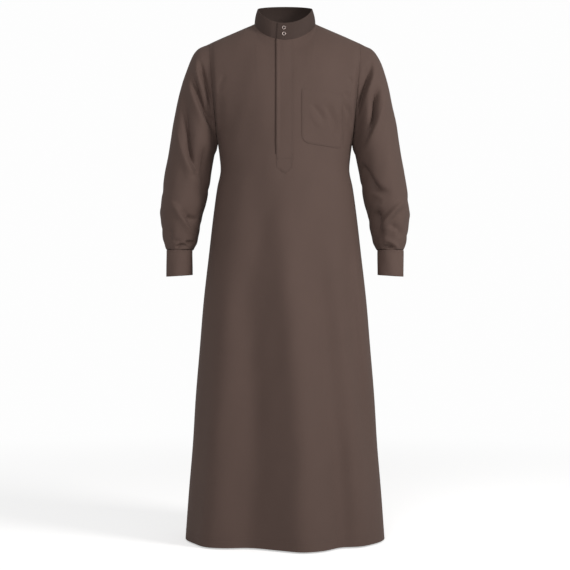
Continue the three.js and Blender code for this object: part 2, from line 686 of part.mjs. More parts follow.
function makeFrontPieces() {
  const strips = new THREE.Group();
  const placketRows = evenSteps(0, 1, PLACKET.rows);
  const underlapColumns = evenSteps(UNDERLAP.leftX, UNDERLAP.rightX, UNDERLAP.columns);
  const underlapRows = evenSteps(0, 1, UNDERLAP.rows);
  const pocketRows = evenSteps(0, 1, POCKET.rows);
  strips.add(piece("placket", clothWall(placketSurface, placketRows, PLACKET_COLUMNS, STRIP_WALL, 1)));
  strips.add(piece("underlap", clothWall(underlapSurface, underlapRows, underlapColumns, STRIP_WALL, 1)));
  strips.add(piece("pocket", clothWall(pocketSurface, pocketRows, POCKET.columns, STRIP_WALL, 1)));
  return strips;
}

const thobe = new THREE.Group();
thobe.add(makeBody(await slitFront(panelWall(-1))));
thobe.add(makeSleeve("left", 1), makeSleeve("right", -1));
thobe.add(makeCollar(), makeFrontPieces());

export default thobe;
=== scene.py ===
"""A plain brown thobe, filled out as worn: the finished cloth, fasteners and stitching on the frame.

Lengths in the tables are millimetres in the frame's own axes: +Z up, front towards -Y, the
wearer's left towards +X, and the origin between the shoulders.
"""

import math
from collections import namedtuple

import bpy
import numpy as np
from bpy.props import FloatProperty, FloatVectorProperty, IntProperty, PointerProperty
from mathutils import Matrix, Vector


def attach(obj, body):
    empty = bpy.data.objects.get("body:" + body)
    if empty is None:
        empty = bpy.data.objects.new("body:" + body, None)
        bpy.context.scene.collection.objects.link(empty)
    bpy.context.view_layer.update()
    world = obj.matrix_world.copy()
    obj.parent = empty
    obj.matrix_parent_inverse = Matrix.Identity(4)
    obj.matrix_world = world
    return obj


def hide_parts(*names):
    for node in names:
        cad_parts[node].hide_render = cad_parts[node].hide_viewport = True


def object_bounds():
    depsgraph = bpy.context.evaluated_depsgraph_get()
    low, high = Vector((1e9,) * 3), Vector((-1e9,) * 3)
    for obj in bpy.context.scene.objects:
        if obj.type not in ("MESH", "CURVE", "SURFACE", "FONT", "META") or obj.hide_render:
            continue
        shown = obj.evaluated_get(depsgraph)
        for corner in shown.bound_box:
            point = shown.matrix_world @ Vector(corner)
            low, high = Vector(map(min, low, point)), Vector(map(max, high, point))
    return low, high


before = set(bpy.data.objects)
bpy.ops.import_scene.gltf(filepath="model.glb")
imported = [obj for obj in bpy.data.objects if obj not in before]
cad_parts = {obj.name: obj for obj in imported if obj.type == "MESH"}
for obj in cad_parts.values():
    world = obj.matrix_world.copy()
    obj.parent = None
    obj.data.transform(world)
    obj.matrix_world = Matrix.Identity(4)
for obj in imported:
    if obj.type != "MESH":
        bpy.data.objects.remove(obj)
CAD_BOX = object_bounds()

bl_info = {
    "name": "Thobe",
    "version": (1, 0, 0),
    "blender": (4, 5, 0),
    "location": "3D View > Sidebar > Thobe",
    "description": "Builds a plain thobe with a band collar, half placket, pocket and cuffed sleeves",
    "category": "Add Mesh",
}

MM = 0.001
ROOT = "root"
FRONT, BACK = -1, 1
QUARTER_TURN = math.pi / 2

# Where the panels end: neckline, shoulder point, underarm point and hem
NECK = dict(half_width=84, side_y=8, side_z=-4, front_y=-80, front_z=-62, back_y=72, back_z=10)
COLLAR_TOP = dict(half_width=75, side_y=0, side_z=36, front_y=-68, front_z=-14, back_y=62, back_z=54)
NECK_DROP_POWER = 1.3
NECK_SHARE = 0.27
SHOULDER = Vector((208, 5, -60))
UNDERARM = Vector((186, 0, -325))
ARMHOLE_DEPTH = {FRONT: 84, BACK: 82}
HEM_Z = -1416
SIDE_ROUNDNESS = 0.87

# Half width and the depths in front and behind of the body at each height
BodyRow = namedtuple("BodyRow", "at half front back")
BODY_ROWS = [
    BodyRow(-1416, 273, 186, 172),
    BodyRow(-1292, 264, 181, 166),
    BodyRow(-1160, 253, 175, 160),
    BodyRow(-1028, 245, 169, 153),
    BodyRow(-896, 234, 162, 146),
    BodyRow(-764, 223, 155, 140),
    BodyRow(-632, 208, 149, 133),
    BodyRow(-544, 198, 144, 126),
    BodyRow(-456, 186, 139, 116),
    BodyRow(-412, 177, 136, 112),
    BodyRow(-368, 180, 132, 110),
    BodyRow(-325, 186, 128, 109),
]

# Bezier handles of the columns above the underarm row
Handles = namedtuple("Handles", "low_out low_z centre_out side_out crest_z fall neck_dip")
HANDLES = {
    FRONT: Handles(8, -150, 104, 75, -18, 52, 94),
    BACK: Handles(10, -150, 106, 80, -18, 50, 22),
}
HANDLE_SPREAD = 0.6
COLUMN_SOFTNESS = 0.14
UNDERARM_SOFTNESS = 34
UNDERARM_REACH = 90
NECK_DIP_SPREAD = 0.42
SHOULDER_FALL_POWER = 1.5

# Skirt folds: angle and half width in degrees round the body, height at the hem, and where each
# starts. Growth above 1 lets a fold still be widening where it meets the hem.
FOLD_GROWTH = 1.25
Fold = namedtuple("Fold", "angle width height start_z")
SKIRT_FOLDS = {
    FRONT: [
        Fold(-43, 10, 22, -600),
        Fold(-20, 9, -14, -640),
        Fold(13, 13, 36, -540),
        Fold(31, 7, -10, -760),
        Fold(45, 7, 8, -800),
    ],
    BACK: [
        Fold(-55, 8, 9, -820),
        Fold(-36, 10, 19, -600),
        Fold(-12, 10, -15, -660),
        Fold(10, 12, 25, -540),
        Fold(34, 8, -11, -720),
        Fold(50, 8, 12, -780),
    ],
}

# Sleeve sections from the armhole to the cuff: outer edge, inner edge, depth in front and behind
SleeveRow = namedtuple("SleeveRow", "at out_x out_z in_x in_z front back")
SLEEVE_SIZES = [
    (208, -60, 186, -325, 84, 82),
    (239, -78, 187, -330, 83, 81),
    (258, -104, 188, -334, 81, 80),
    (274, -148, 189, -339, 79, 78),
    (286, -192, 190, -344, 78, 76),
    (297, -236, 191, -349, 77, 74),
    (306, -280, 192, -355, 77, 72),
    (313, -324, 193, -361, 77, 70),
    (320, -368, 195, -371, 77, 68),
    (328, -412, 203, -412, 77, 66),
    (334, -456, 209, -456, 77, 63),
    (339, -500, 218, -500, 76, 58),
    (341, -530, 227, -530, 74, 52),
    (339, -560, 232, -560, 71, 47),
    (335, -588, 238, -588, 67, 40),
    (331, -608, 242, -608, 64, 31),
    (326, -621, 249, -621, 62, 17),
    (324, -627.7, 252.5, -627.7, 60.5, 11),
]
SLEEVE_ROWS = [SleeveRow(place, *sizes) for place, sizes in enumerate(SLEEVE_SIZES)]
SLEEVE_END = len(SLEEVE_ROWS) - 1
SLEEVE_GIRTH_RADIUS = 62
SLEEVE_COLUMNS = 184

# Creases: a path, the height (a trough is negative), and the half widths to the path's left and right.
# Each fades out over CREASE_FADE of its length at both ends.
Crease = namedtuple("Crease", "path height left right")
CREASE_FADE = 0.35

# On the body these paths are X and Z as seen from in front, also on the back
PANEL_CREASES = {
    FRONT: [
        Crease([(-117, -214), (-138, -262), (-152, -301), (-158, -352)], -3, 13, 17),
        Crease([(-172, -200), (-178, -262), (-168, -330)], -4, 9, 12),
        Crease([(66, -236), (91, -264), (106, -293)], -3.2, 7, 4),
        Crease([(66, -256), (81, -283), (104, -308)], 1.8, 5, 6),
        Crease([(98, -235), (116, -255), (127, -282), (135, -312), (142, -352)], -6, 10, 4),
        Crease([(134, -244), (150, -257), (154, -289), (159, -312), (160, -352)], -4.2, 7, 3.5),
        Crease([(161, -224), (163, -246), (169, -258), (175, -276), (175, -308)], -5, 8, 3),
        Crease([(156, -202), (165, -212), (175, -222)], -1.8, 4, 4),
        Crease([(167, -162), (175, -171), (184, -181)], -2, 4, 4),
        Crease([(-160, -150), (-172, -180), (-182, -214)], -2, 6, 5),
        Crease([(-60, -480), (-74, -560), (-80, -660)], -2, 22, 26),
        Crease([(118, -430), (106, -520), (112, -640)], -2.5, 20, 24),
        Crease([(30, -110), (60, -128), (96, -120)], -1.2, 10, 12),
        Crease([(-112, -420), (-152, -640), (-172, -860), (-184, -1060), (-196, -1300)], 8, 30, 26),
        Crease(
            [(-40, -400), (-72, -600), (-88, -841), (-86, -1025), (-82, -1208), (-90, -1460)],
            -10, 28, 28,
        ),
        Crease(
            [(-4, -380), (2, -600), (18, -841), (31, -1025), (47, -1208), (42, -1400), (40, -1640)],
            17, 32, 30,
        ),
        Crease(
            [(66, -420), (86, -600), (104, -841), (114, -1025), (138, -1208), (150, -1420), (160, -1700)],
            -8, 20, 22,
        ),
        Crease([(128, -560), (156, -841), (178, -1025), (193, -1208), (206, -1420)], 5, 18, 18),
        Crease([(162, -480), (174, -657), (186, -841), (206, -1025), (226, -1240)], -9, 11, 15),
        Crease([(192, -520), (208, -720), (222, -920), (236, -1120)], 7, 12, 14),
        Crease([(-21, -412), (-9, -423), (5, -432)], -1.4, 3, 3),
    ],
    BACK: [
        Crease([(-150, -150), (-166, -240), (-152, -330)], -5, 14, 10),
        Crease([(-120, -190), (-138, -262), (-118, -352)], -2.6, 9, 13),
        Crease([(148, -170), (162, -250), (140, -350)], -5, 12, 16),
        Crease([(118, -214), (132, -286), (106, -372)], -2.4, 12, 8),
        Crease([(-60, -60), (0, -76), (64, -58)], -3, 10, 13),
        Crease([(-92, -96), (-30, -118), (40, -112)], -1.5, 12, 15),
        Crease([(-30, -400), (-40, -560), (-52, -800), (-48, -1060), (-44, -1300)], -7, 26, 30),
        Crease([(16, -380), (24, -600), (38, -860), (44, -1100), (46, -1360)], 9, 34, 30),
        Crease([(-96, -460), (-128, -700), (-142, -940), (-150, -1220)], 7, 26, 30),
        Crease([(84, -440), (112, -640), (130, -880), (138, -1120), (142, -1380)], -6, 22, 24),
        Crease([(140, -600), (172, -860), (186, -1120), (192, -1340)], 4.5, 20, 18),
        Crease([(-170, -226), (-178, -280), (-172, -322)], -3, 5, 7),
        Crease([(176, -214), (180, -268), (172, -318)], -2.8, 7, 5),
    ],
}

# On the sleeves these paths are X and Z too: in front, and behind
SLEEVE_CREASES = {
    ("left", FRONT): [
        Crease([(220, -119), (213, -146), (203, -168), (194, -208)], -6, 7, 4),
        Crease([(234, -110), (229, -154), (214, -196), (202, -236), (192, -280)], -12, 4, 9),
        Crease([(243, -100), (239, -152), (225, -196), (211, -240)], 4, 8, 4),
        Crease([(260, -166), (254, -197), (246, -237), (238, -277), (221, -318), (204, -366)], -16, 4, 14),
        Crease([(270, -176), (264, -232), (252, -280), (236, -322), (218, -368)], 5, 9, 4),
        Crease([(200, -380), (226, -430), (244, -458), (262, -470), (292, -476)], -12, 6, 12),
        Crease([(222, -478), (244, -492), (267, -500)], -4, 5, 9),
        Crease([(328, -486), (306, -508), (289, -527), (271, -551), (250, -584)], 10, 9, 5),
        Crease([(330, -508), (308, -524), (292, -546), (272, -572)], -4.5, 9, 5),
        Crease([(256, -508), (246, -540), (252, -572), (268, -598)], -12, 9, 9),
        Crease([(278, -556), (292, -566), (305, -574), (314, -598)], -6, 7, 4),
        Crease([(262, -600), (276, -603), (290, -609), (314, -632)], 4.5, 5, 4),
        Crease([(262, -616), (280, -619), (300, -621)], -6.5, 2.8, 3.2),
        Crease([(244, -520), (252, -548), (250, -574)], -3, 7, 5),
        Crease([(236, -128), (229, -160), (214, -198), (202, -238), (194, -272)], -8, 2.6, 3.4),
        Crease([(258, -180), (253, -202), (246, -237), (237, -279), (223, -314)], -9, 2.6, 4),
        Crease([(206, -392), (228, -432), (246, -459), (266, -471)], -5, 3, 4),
        Crease([(252, -520), (247, -542), (252, -566)], -5, 3, 4),
    ],
    ("right", FRONT): [
        Crease([(-254, -140), (-243, -196), (-227, -236), (-210, -274), (-190, -318)], -13, 9, 4),
        Crease([(-266, -146), (-252, -202), (-236, -240), (-219, -278), (-200, -318)], 5, 4, 9),
        Crease([(-232, -100), (-228, -132), (-218, -172), (-206, -212), (-194, -262)], -9, 8, 4),
        Crease([(-240, -104), (-237, -138), (-227, -180), (-216, -214)], 4, 4, 7),
        Crease([(-206, -260), (-199, -273), (-190, -288)], -3, 4, 4),
        Crease(
            [
                (-276, -170), (-275, -237), (-273, -277), (-267, -318),
                (-261, -358), (-246, -399), (-222, -434), (-202, -466),
            ],
            -15, 14, 4.5,
        ),
        Crease(
            [(-293, -252), (-287, -316), (-278, -356), (-262, -398), (-244, -436), (-224, -464)],
            6, 4, 10,
        ),
        Crease([(-222, -330), (-216, -380), (-212, -430), (-220, -490), (-232, -520)], -13, 12, 14),
        Crease(
            [(-314, -488), (-296, -510), (-282, -528), (-270, -546), (-260, -564), (-245, -584)],
            9, 5, 9,
        ),
        Crease([(-290, -512), (-276, -530), (-264, -548), (-254, -566), (-240, -584)], -8, 7, 4),
        Crease([(-268, -538), (-254, -543), (-236, -545)], -6, 5, 6),
        Crease([(-311, -568), (-310, -586), (-311, -606)], -4.5, 4, 5),
        Crease([(-304, -602), (-292, -604), (-278, -603)], -2.5, 4, 5),
        Crease([(-272, -606), (-260, -607), (-245, -605)], -7.5, 2.8, 3.6),
        Crease([(-300, -624), (-288, -617), (-276, -615), (-262, -620)], -7.5, 2.6, 3.4),
        Crease([(-226, -408), (-244, -424), (-262, -430)], -3, 7, 6),
        Crease([(-252, -150), (-242, -198), (-227, -236), (-211, -272), (-194, -308)], -8, 3.6, 2.6),
        Crease([(-230, -110), (-226, -142), (-216, -180), (-205, -216), (-197, -250)], -6, 3.4, 2.6),
        Crease(
            [(-274, -250), (-271, -290), (-265, -326), (-258, -362), (-245, -398), (-228, -424)],
            -8, 4, 2.6,
        ),
        Crease([(-216, -340), (-213, -384), (-214, -430)], -5, 3, 4),
    ],
    ("left", BACK): [
        Crease([(232, -112), (222, -170), (206, -232), (194, -284)], -8, 12, 5),
        Crease([(252, -108), (246, -160), (232, -214)], 3, 8, 7),
        Crease([(284, -300), (250, -330), (216, -346)], -6, 10, 6),
        Crease([(262, -236), (238, -276), (214, -316)], -5, 9, 5),
        Crease([(330, -452), (286, -482), (232, -492)], -7, 7, 12),
        Crease([(324, -414), (290, -436), (250, -444)], -4, 8, 10),
        Crease([(246, -520), (286, -556), (322, -600)], 7, 7, 11),
        Crease([(240, -548), (266, -576), (292, -606)], -5, 6, 8),
        Crease([(262, -616), (284, -611), (302, -618)], -5, 3, 4),
    ],
    ("right", BACK): [
        Crease([(-226, -104), (-224, -160), (-208, -218), (-192, -276)], -8, 5, 12),
        Crease([(-248, -116), (-240, -178), (-222, -232)], 3, 7, 8),
        Crease([(-276, -262), (-246, -306), (-212, -338)], -6, 6, 11),
        Crease([(-300, -330), (-262, -356), (-222, -366)], -4, 8, 9),
        Crease([(-328, -438), (-288, -478), (-236, -506)], -7, 12, 7),
        Crease([(-316, -486), (-280, -512), (-246, -520)], 4, 8, 7),
        Crease([(-322, -540), (-288, -566), (-248, -590)], 6, 10, 7),
        Crease([(-318, -566), (-292, -586), (-262, -602)], -5, 7, 6),
        Crease([(-300, -618), (-286, -613), (-266, -619)], -5, 3, 4),
    ],
}

# On the sleeves' outer and inner sides: degrees round from the inner edge by the front, and Z
SLEEVE_SIDE_CREASES = {
    "left": [
        Crease([(150, -470), (178, -492), (212, -496)], -2, 7, 10),
        Crease([(160, -540), (182, -528), (206, -520)], 1.6, 9, 7),
        Crease([(152, -576), (176, -590), (204, -588)], -2, 6, 6),
        Crease([(168, -606), (190, -612), (210, -606)], -2, 4, 5),
        Crease([(176, -250), (180, -330), (176, -410)], -1.2, 12, 16),
        Crease([(330, -440), (352, -452), (376, -446)], -2.2, 6, 9),
        Crease([(336, -560), (356, -548), (380, -556)], -2, 7, 8),
        Crease([(360, -110), (361, -240), (360, -384)], 4.6, 18, 18),
    ],
    "right": [
        Crease([(152, -452), (180, -470), (208, -478)], -2, 10, 7),
        Crease([(156, -512), (178, -524), (204, -516)], 1.6, 7, 9),
        Crease([(150, -560), (176, -570), (206, -582)], -2, 6, 7),
        Crease([(160, -604), (182, -610), (206, -612)], -2, 5, 4),
        Crease([(184, -260), (178, -340), (182, -420)], -1.2, 15, 12),
        Crease([(332, -456), (356, -462), (378, -452)], -2.2, 8, 7),
        Crease([(334, -548), (358, -560), (378, -552)], -2, 8, 7),
        Crease([(360, -104), (359, -236), (361, -380)], 4.6, 18, 18),
    ],
}

# The valley along each armhole: share of the way up from the underarm, depth of the valley
Valley = namedtuple("Valley", "at depth")
ARMHOLE_VALLEY = [
    Valley(0, 0), Valley(0.1, 12), Valley(0.24, 25), Valley(0.4, 25), Valley(0.56, 15), Valley(0.72, 5),
    Valley(1, 0),
]
BODY_VALLEY_WIDTH = 8
SLEEVE_VALLEY_WIDTH = 27
SLEEVE_EASE = 1.2
SEAM_GROOVE = 0.9
SEAM_GROOVE_WIDTH = 1.6

# Slow waves that keep the cloth from lying too evenly: wave lengths in X and Z, and height
Wave = namedtuple("Wave", "along_x along_z height phase")
CLOTH_WAVES = [
    Wave(210, 460, 0.9, 0.4),
    Wave(-150, 320, 0.6, 1.9),
    Wave(92, 540, 0.5, 2.7),
    Wave(-64, 210, 0.3, 4.1),
]

# Gathers above the cuffs: degrees round the sleeve, height, and half width in degrees
Gather = namedtuple("Gather", "angle height width")
CUFF_GATHERS = [
    Gather(22, 2.4, 7), Gather(47, 1.6, 5), Gather(70, 2.2, 6), Gather(104, 2.8, 8), Gather(131, 1.8, 5),
    Gather(158, 2.6, 7), Gather(187, 2.2, 6), Gather(214, 1.7, 5), Gather(238, 2.9, 8), Gather(269, 2.1, 6),
    Gather(297, 2.6, 7), Gather(322, 1.6, 5), Gather(344, 2.3, 6),
]
GATHER_REACH = 34
GATHER_MEAN = 0.8

# Placket, the slit beside its free edge and the strip that backs it
FREE_EDGE_LIFT = 2.2
FREE_EDGE_START = -12
FREE_EDGE_RISE = 30
STRIP_SEAT = 0.2
STRIP_ROUNDING = 0.35
UNDERLAP_DROP = 2.4
PLACKET = dict(left_x=-22.5, right_x=22, corner_z=-410, tip_z=-430, below_neck=1.4)
SLIT = dict(left_x=-26.4, right_x=-23.0, end_z=-375)
UNDERLAP = dict(left_x=-40, right_x=-8, end_z=-402, below_neck=3)

# Chest pocket corners in the front view
POCKET = dict(top_left=(45, -200), top_right=(157, -212), bottom_left=(45, -343), bottom_right=(156, -358))
POCKET_CORNER = 20

# Bands: the collar and the cuffs, each one strip whose ends lap at angle 0
LAP_DEGREES = 15
LAP_STEP = 3.0
COLLAR_BULGE = 2
COLLAR_TUCK = 1.3
BAND_ROUNDING = 0.7
CUFF_RIPPLES = 5
CUFF_RIPPLE_HEIGHT = 0.35
CUFF = dict(x=288.25, y=-24.75, radius=35.75, top_z=-628.1, bottom_z=-698, tilt=2.2)

# Wall thickness of each finished piece
WALLS = dict(panel=0.9, sleeve=0.9, collar=2.2, cuff=2.0, strip=1.1, hem=1.9)
HEM_DEPTH = 24


def smooth(share):
    share = np.clip(share, 0, 1)
    return share * share * (3 - 2 * share)


def mix(low, high, share):
    return low + (high - low) * share


def read_curve(rows, column, at):
    """A smooth curve through one column of a table, read at the given places."""
    places = np.array([row.at for row in rows], dtype=float)
    values = np.array([getattr(row, column) for row in rows], dtype=float)
    low = np.maximum(np.arange(len(rows)) - 1, 0)
    high = np.minimum(np.arange(len(rows)) + 1, len(rows) - 1)
    slopes = (values[high] - values[low]) / (places[high] - places[low])
    at = np.asarray(at, dtype=float)
    index = np.clip(np.searchsorted(places, at) - 1, 0, len(rows) - 2)
    span = places[index + 1] - places[index]
    s = np.clip((at - places[index]) / span, 0, 1)
    square = s * s
    cube = square * s
    return (
        (2 * cube - 3 * square + 1) * values[index]
        + (cube - 2 * square + s) * span * slopes[index]
        + (3 * square - 2 * cube) * values[index + 1]
        + (cube - square) * span * slopes[index + 1]
    )


def rounded_path(path, per_span=5):
    """Points of a smooth line through a crease's given points."""
    points = np.array(path, dtype=float)
    before = np.vstack([2 * points[0] - points[1], points[:-1]])
    after = np.vstack([points[1:], 2 * points[-1] - points[-2]])
    tangents = (after - before) / 2
    found = []
    for start, end, go, arrive in zip(points[:-1], points[1:], tangents[:-1], tangents[1:]):
        for s in np.arange(per_span) / per_span:
            square, cube = s * s, s * s * s
            found.append(
                (2 * cube - 3 * square + 1) * start + (cube - 2 * square + s) * go
                + (3 * square - 2 * cube) * end + (cube - square) * arrive
            )
    return np.array(found + [points[-1]])


def crease_lift(creases, across, up):
    """How far the creases lift each point, from its signed distance to their paths."""
    shape = np.shape(across)
    places = np.stack([np.ravel(across), np.ravel(up)], axis=1)
    lift = np.zeros(len(places))
    for crease in creases:
        line = rounded_path(crease.path)
        reach_limit = 4 * max(crease.left, crease.right)
        near = np.all((places > line.min(0) - reach_limit) & (places < line.max(0) + reach_limit), axis=1)
        if not near.any():
            continue
        starts, steps = line[:-1], np.diff(line, axis=0)
        lengths = np.linalg.norm(steps, axis=1)
        headings = steps / lengths[:, None]
        offsets = places[near][:, None, :] - starts
        reach = np.clip((offsets * headings).sum(2), 0, lengths)
        misses = offsets - reach[:, :, None] * headings
        distances = np.linalg.norm(misses, axis=2)
        best = distances.argmin(1)
        rows = np.arange(len(best))
        walked = np.concatenate([[0], np.cumsum(lengths)[:-1]])
        along = (walked[best] + reach[rows, best]) / lengths.sum()
        turn = headings[best, 0] * offsets[rows, best, 1] - headings[best, 1] * offsets[rows, best, 0]
        width = np.where(turn > 0, crease.left, crease.right)
        fade = smooth(np.minimum(along, 1 - along) / CREASE_FADE)
        lift[near] += crease.height * fade * np.exp(-((distances[rows, best] / width) ** 2) / 2)
    return lift.reshape(shape)


def wave_lift(across, up):
    lift = np.zeros(np.shape(across))
    for wave in CLOTH_WAVES:
        lift += wave.height * np.sin(2 * math.pi * (across / wave.along_x + up / wave.along_z) + wave.phase)
    return lift


def depth_name(side):
    return "front" if side == FRONT else "back"


def body_size(column, z):
    return read_curve(BODY_ROWS, column, z)


def fold_lift(side, degrees, z):
    lift = np.zeros(np.shape(degrees))
    for fold in SKIRT_FOLDS[side]:
        fallen = (fold.start_z - z) / (fold.start_z - HEM_Z)
        grown = smooth(fallen / FOLD_GROWTH) / smooth(1 / FOLD_GROWTH)
        lift += fold.height * grown * np.exp(-(((degrees - fold.angle) / fold.width) ** 2) / 2)
    return lift


def skirt_points(side, t, z):
    angle = t * QUARTER_TURN
    lift = fold_lift(side, t * 90, z)
    across = body_size("half", z) * np.sin(angle)
    depth = body_size(depth_name(side), z) * np.maximum(0, np.cos(angle)) ** SIDE_ROUNDNESS
    return np.stack([across + lift * np.sin(angle), side * (depth + lift * np.cos(angle)), z], axis=-1)


def armhole_points(side, v):
    rise = (1 - np.cos(math.pi * v)) / 2
    middle, half = (SHOULDER.z + UNDERARM.z) / 2, (SHOULDER.z - UNDERARM.z) / 2
    y = mix(UNDERARM.y, SHOULDER.y, rise) + side * ARMHOLE_DEPTH[side] * np.sin(math.pi * v)
    return np.stack([mix(UNDERARM.x, SHOULDER.x, rise), y, middle - half * np.cos(math.pi * v)], axis=-1)


def neck_ring(ring, angle, width_sign):
    """Points of a ring round the neck: angle 0 is the front, a quarter turn the side."""
    to_front = np.cos(angle)
    ahead = to_front >= 0
    share = np.abs(to_front)
    end_y = np.where(ahead, ring["front_y"], ring["back_y"])
    end_z = np.where(ahead, ring["front_z"], ring["back_z"])
    z = mix(ring["side_z"], end_z, share ** np.where(ahead, NECK_DROP_POWER, 1))
    x = width_sign * ring["half_width"] * np.sin(angle)
    return np.stack([x, mix(ring["side_y"], end_y, share), z], axis=-1)


def panel_top(side, t):
    """The upper edge of a panel: the neckline, then the shoulder seam on each side."""
    reach, sign = np.abs(t), np.sign(t)
    angle = np.minimum(reach / NECK_SHARE, 1) * QUARTER_TURN
    neck = neck_ring(NECK, angle if side == FRONT else math.pi - angle, sign)
    along = np.maximum(0, (reach - NECK_SHARE) / (1 - NECK_SHARE))
    seam = np.stack(
        [
            sign * mix(NECK["half_width"], SHOULDER.x, along),
            mix(NECK["side_y"], SHOULDER.y, along),
            mix(NECK["side_z"], SHOULDER.z, along),
        ],
        axis=-1,
    )
    return np.where((reach <= NECK_SHARE)[..., None], neck, seam)


def panel_column(side, t, v):
    """Depth and height of a column above the underarm row, as a Bezier curve."""
    hold = HANDLES[side]
    top = panel_top(side, t)
    reach = np.abs(t)
    low_y = side * body_size(depth_name(side), np.full(np.shape(t), float(UNDERARM.z)))
    dip = hold.neck_dip * (1 - smooth(reach / NECK_DIP_SPREAD))
    high_y = side * mix(hold.centre_out, hold.side_out, smooth(reach / HANDLE_SPREAD))
    high_z = hold.crest_z - hold.fall * reach**SHOULDER_FALL_POWER - dip
    weights = [(1 - v) ** 3, 3 * v * (1 - v) ** 2, 3 * v * v * (1 - v), v**3]
    depths = [low_y, low_y + side * hold.low_out, high_y, top[..., 1]]
    heights = [UNDERARM.z, hold.low_z, high_z, top[..., 2]]
    y = sum(weight * depth for weight, depth in zip(weights, depths))
    z = sum(weight * height for weight, height in zip(weights, heights))
    return y, z


def soft_column(side, t, v):
    """A panel column averaged with its neighbours, so that no ridge runs down from the neck point."""
    spread = COLUMN_SOFTNESS * smooth((1 - v) / 0.3) * smooth((1 - np.abs(t)) / 0.25)
    columns = [panel_column(side, t + share * spread, v) for share in (-1, -0.5, 0, 0.5, 1)]
    return tuple(sum(parts) / len(parts) for parts in zip(*columns))


def chest_points(side, t, v):
    edge = armhole_points(side, v)
    y, z = soft_column(side, t, v)
    edge_y, edge_z = panel_column(side, np.where(t < 0, -1.0, 1.0), v)
    to_edge = 1 - np.maximum(0, np.cos(t * QUARTER_TURN)) ** SIDE_ROUNDNESS
    spread = mix(np.sin(t * QUARTER_TURN), panel_top(side, t)[..., 0] / SHOULDER.x, v)
    return np.stack(
        [
            edge[..., 0] * spread,
            y + to_edge * (edge[..., 1] - edge_y),
            z + to_edge * (edge[..., 2] - edge_z),
        ],
        axis=-1,
    )


def plain_panel(side, s, t):
    """Body panel points before creases, with the bend across the underarm row made soft."""
    s, t = np.broadcast_arrays(np.asarray(s, float), np.asarray(t, float))
    skirt_height, chest_height = UNDERARM.z - HEM_Z, SHOULDER.z - UNDERARM.z
    above = np.where(s < 1, (s - 1) * skirt_height, (s - 1) * chest_height)
    spread = UNDERARM_SOFTNESS * smooth(1 - np.abs(above) / UNDERARM_REACH) * smooth((1 - np.abs(t)) / 0.2)
    total = 0
    for share in (-1, -0.5, 0, 0.5, 1):
        moved = above + share * spread
        total = total + panel_place(side, 1 + moved / np.where(moved < 0, skirt_height, chest_height), t)
    return total / 5


def panel_place(side, s, t):
    """Body panel points by place: s is 0 at the hem, 1 at the underarm row, 2 at the top."""
    low = skirt_points(side, t, mix(float(HEM_Z), float(UNDERARM.z), np.minimum(s, 1)))
    high = chest_points(side, t, np.maximum(s - 1, 0))
    return np.where((s <= 1)[..., None], low, high)


def edge_distance(side, s, t):
    """Roughly how far a panel point lies from its armhole, along its row, in millimetres."""
    point = plain_panel(side, s, t)
    edge = plain_panel(side, s, np.where(t < 0, -1.0, 1.0))
    return np.linalg.norm(point - edge, axis=-1)


def panel_points(side, s, t):
    """Body panel points with their creases, waves and the valleys along the armholes."""
    s, t = np.broadcast_arrays(np.asarray(s, float), np.asarray(t, float))
    points = plain_panel(side, s, t)
    inside = smooth((1 - np.abs(t)) / 0.10) * smooth((2 - s) / 0.06)
    x, z = points[..., 0], points[..., 2]
    lift = (crease_lift(PANEL_CREASES[side], x, z) + wave_lift(x, z)) * inside
    valley = read_curve(ARMHOLE_VALLEY, "depth", np.clip(s - 1, 0, 1)) * (s > 1)
    distance = edge_distance(side, s, t)
    lift -= valley * np.exp(-((distance / BODY_VALLEY_WIDTH) ** 2) / 2)
    points[..., 1] += side * lift
    return points


def grid_normals(points, closed):
    """Unit normals of a grid of points, along its columns crossed with its rows."""
    along_rows = np.gradient(points, axis=0)
    if closed:
        along_columns = (np.roll(points, -1, axis=1) - np.roll(points, 1, axis=1)) / 2
    else:
        along_columns = np.gradient(points, axis=1)
    normals = np.cross(along_columns, along_rows)
    return normals / np.maximum(np.linalg.norm(normals, axis=-1, keepdims=True), 1e-9)


def surface_lengths(points, closed):
    """Distances along the rows and columns of a grid, for the cloth's own map, in metres."""
    ring = np.concatenate([points, points[:, :1]], axis=1) if closed else points
    across = np.linalg.norm(np.diff(ring, axis=1), axis=2)
    across = np.concatenate([np.zeros((len(points), 1)), np.cumsum(across, axis=1)], axis=1)
    across -= across[:, -1:] / 2
    up = np.linalg.norm(np.diff(ring, axis=0), axis=2)
    up = np.concatenate([np.zeros((1, ring.shape[1])), np.cumsum(up, axis=0)], axis=0)
    return np.stack([across, up], axis=-1) * MM


def add_object(name, mesh, material_names):
    for material_name in material_names:
        mesh.materials.append(bpy.data.materials[material_name])
    obj = bpy.data.objects.new(name, mesh)
    bpy.context.scene.collection.objects.link(obj)
    return obj


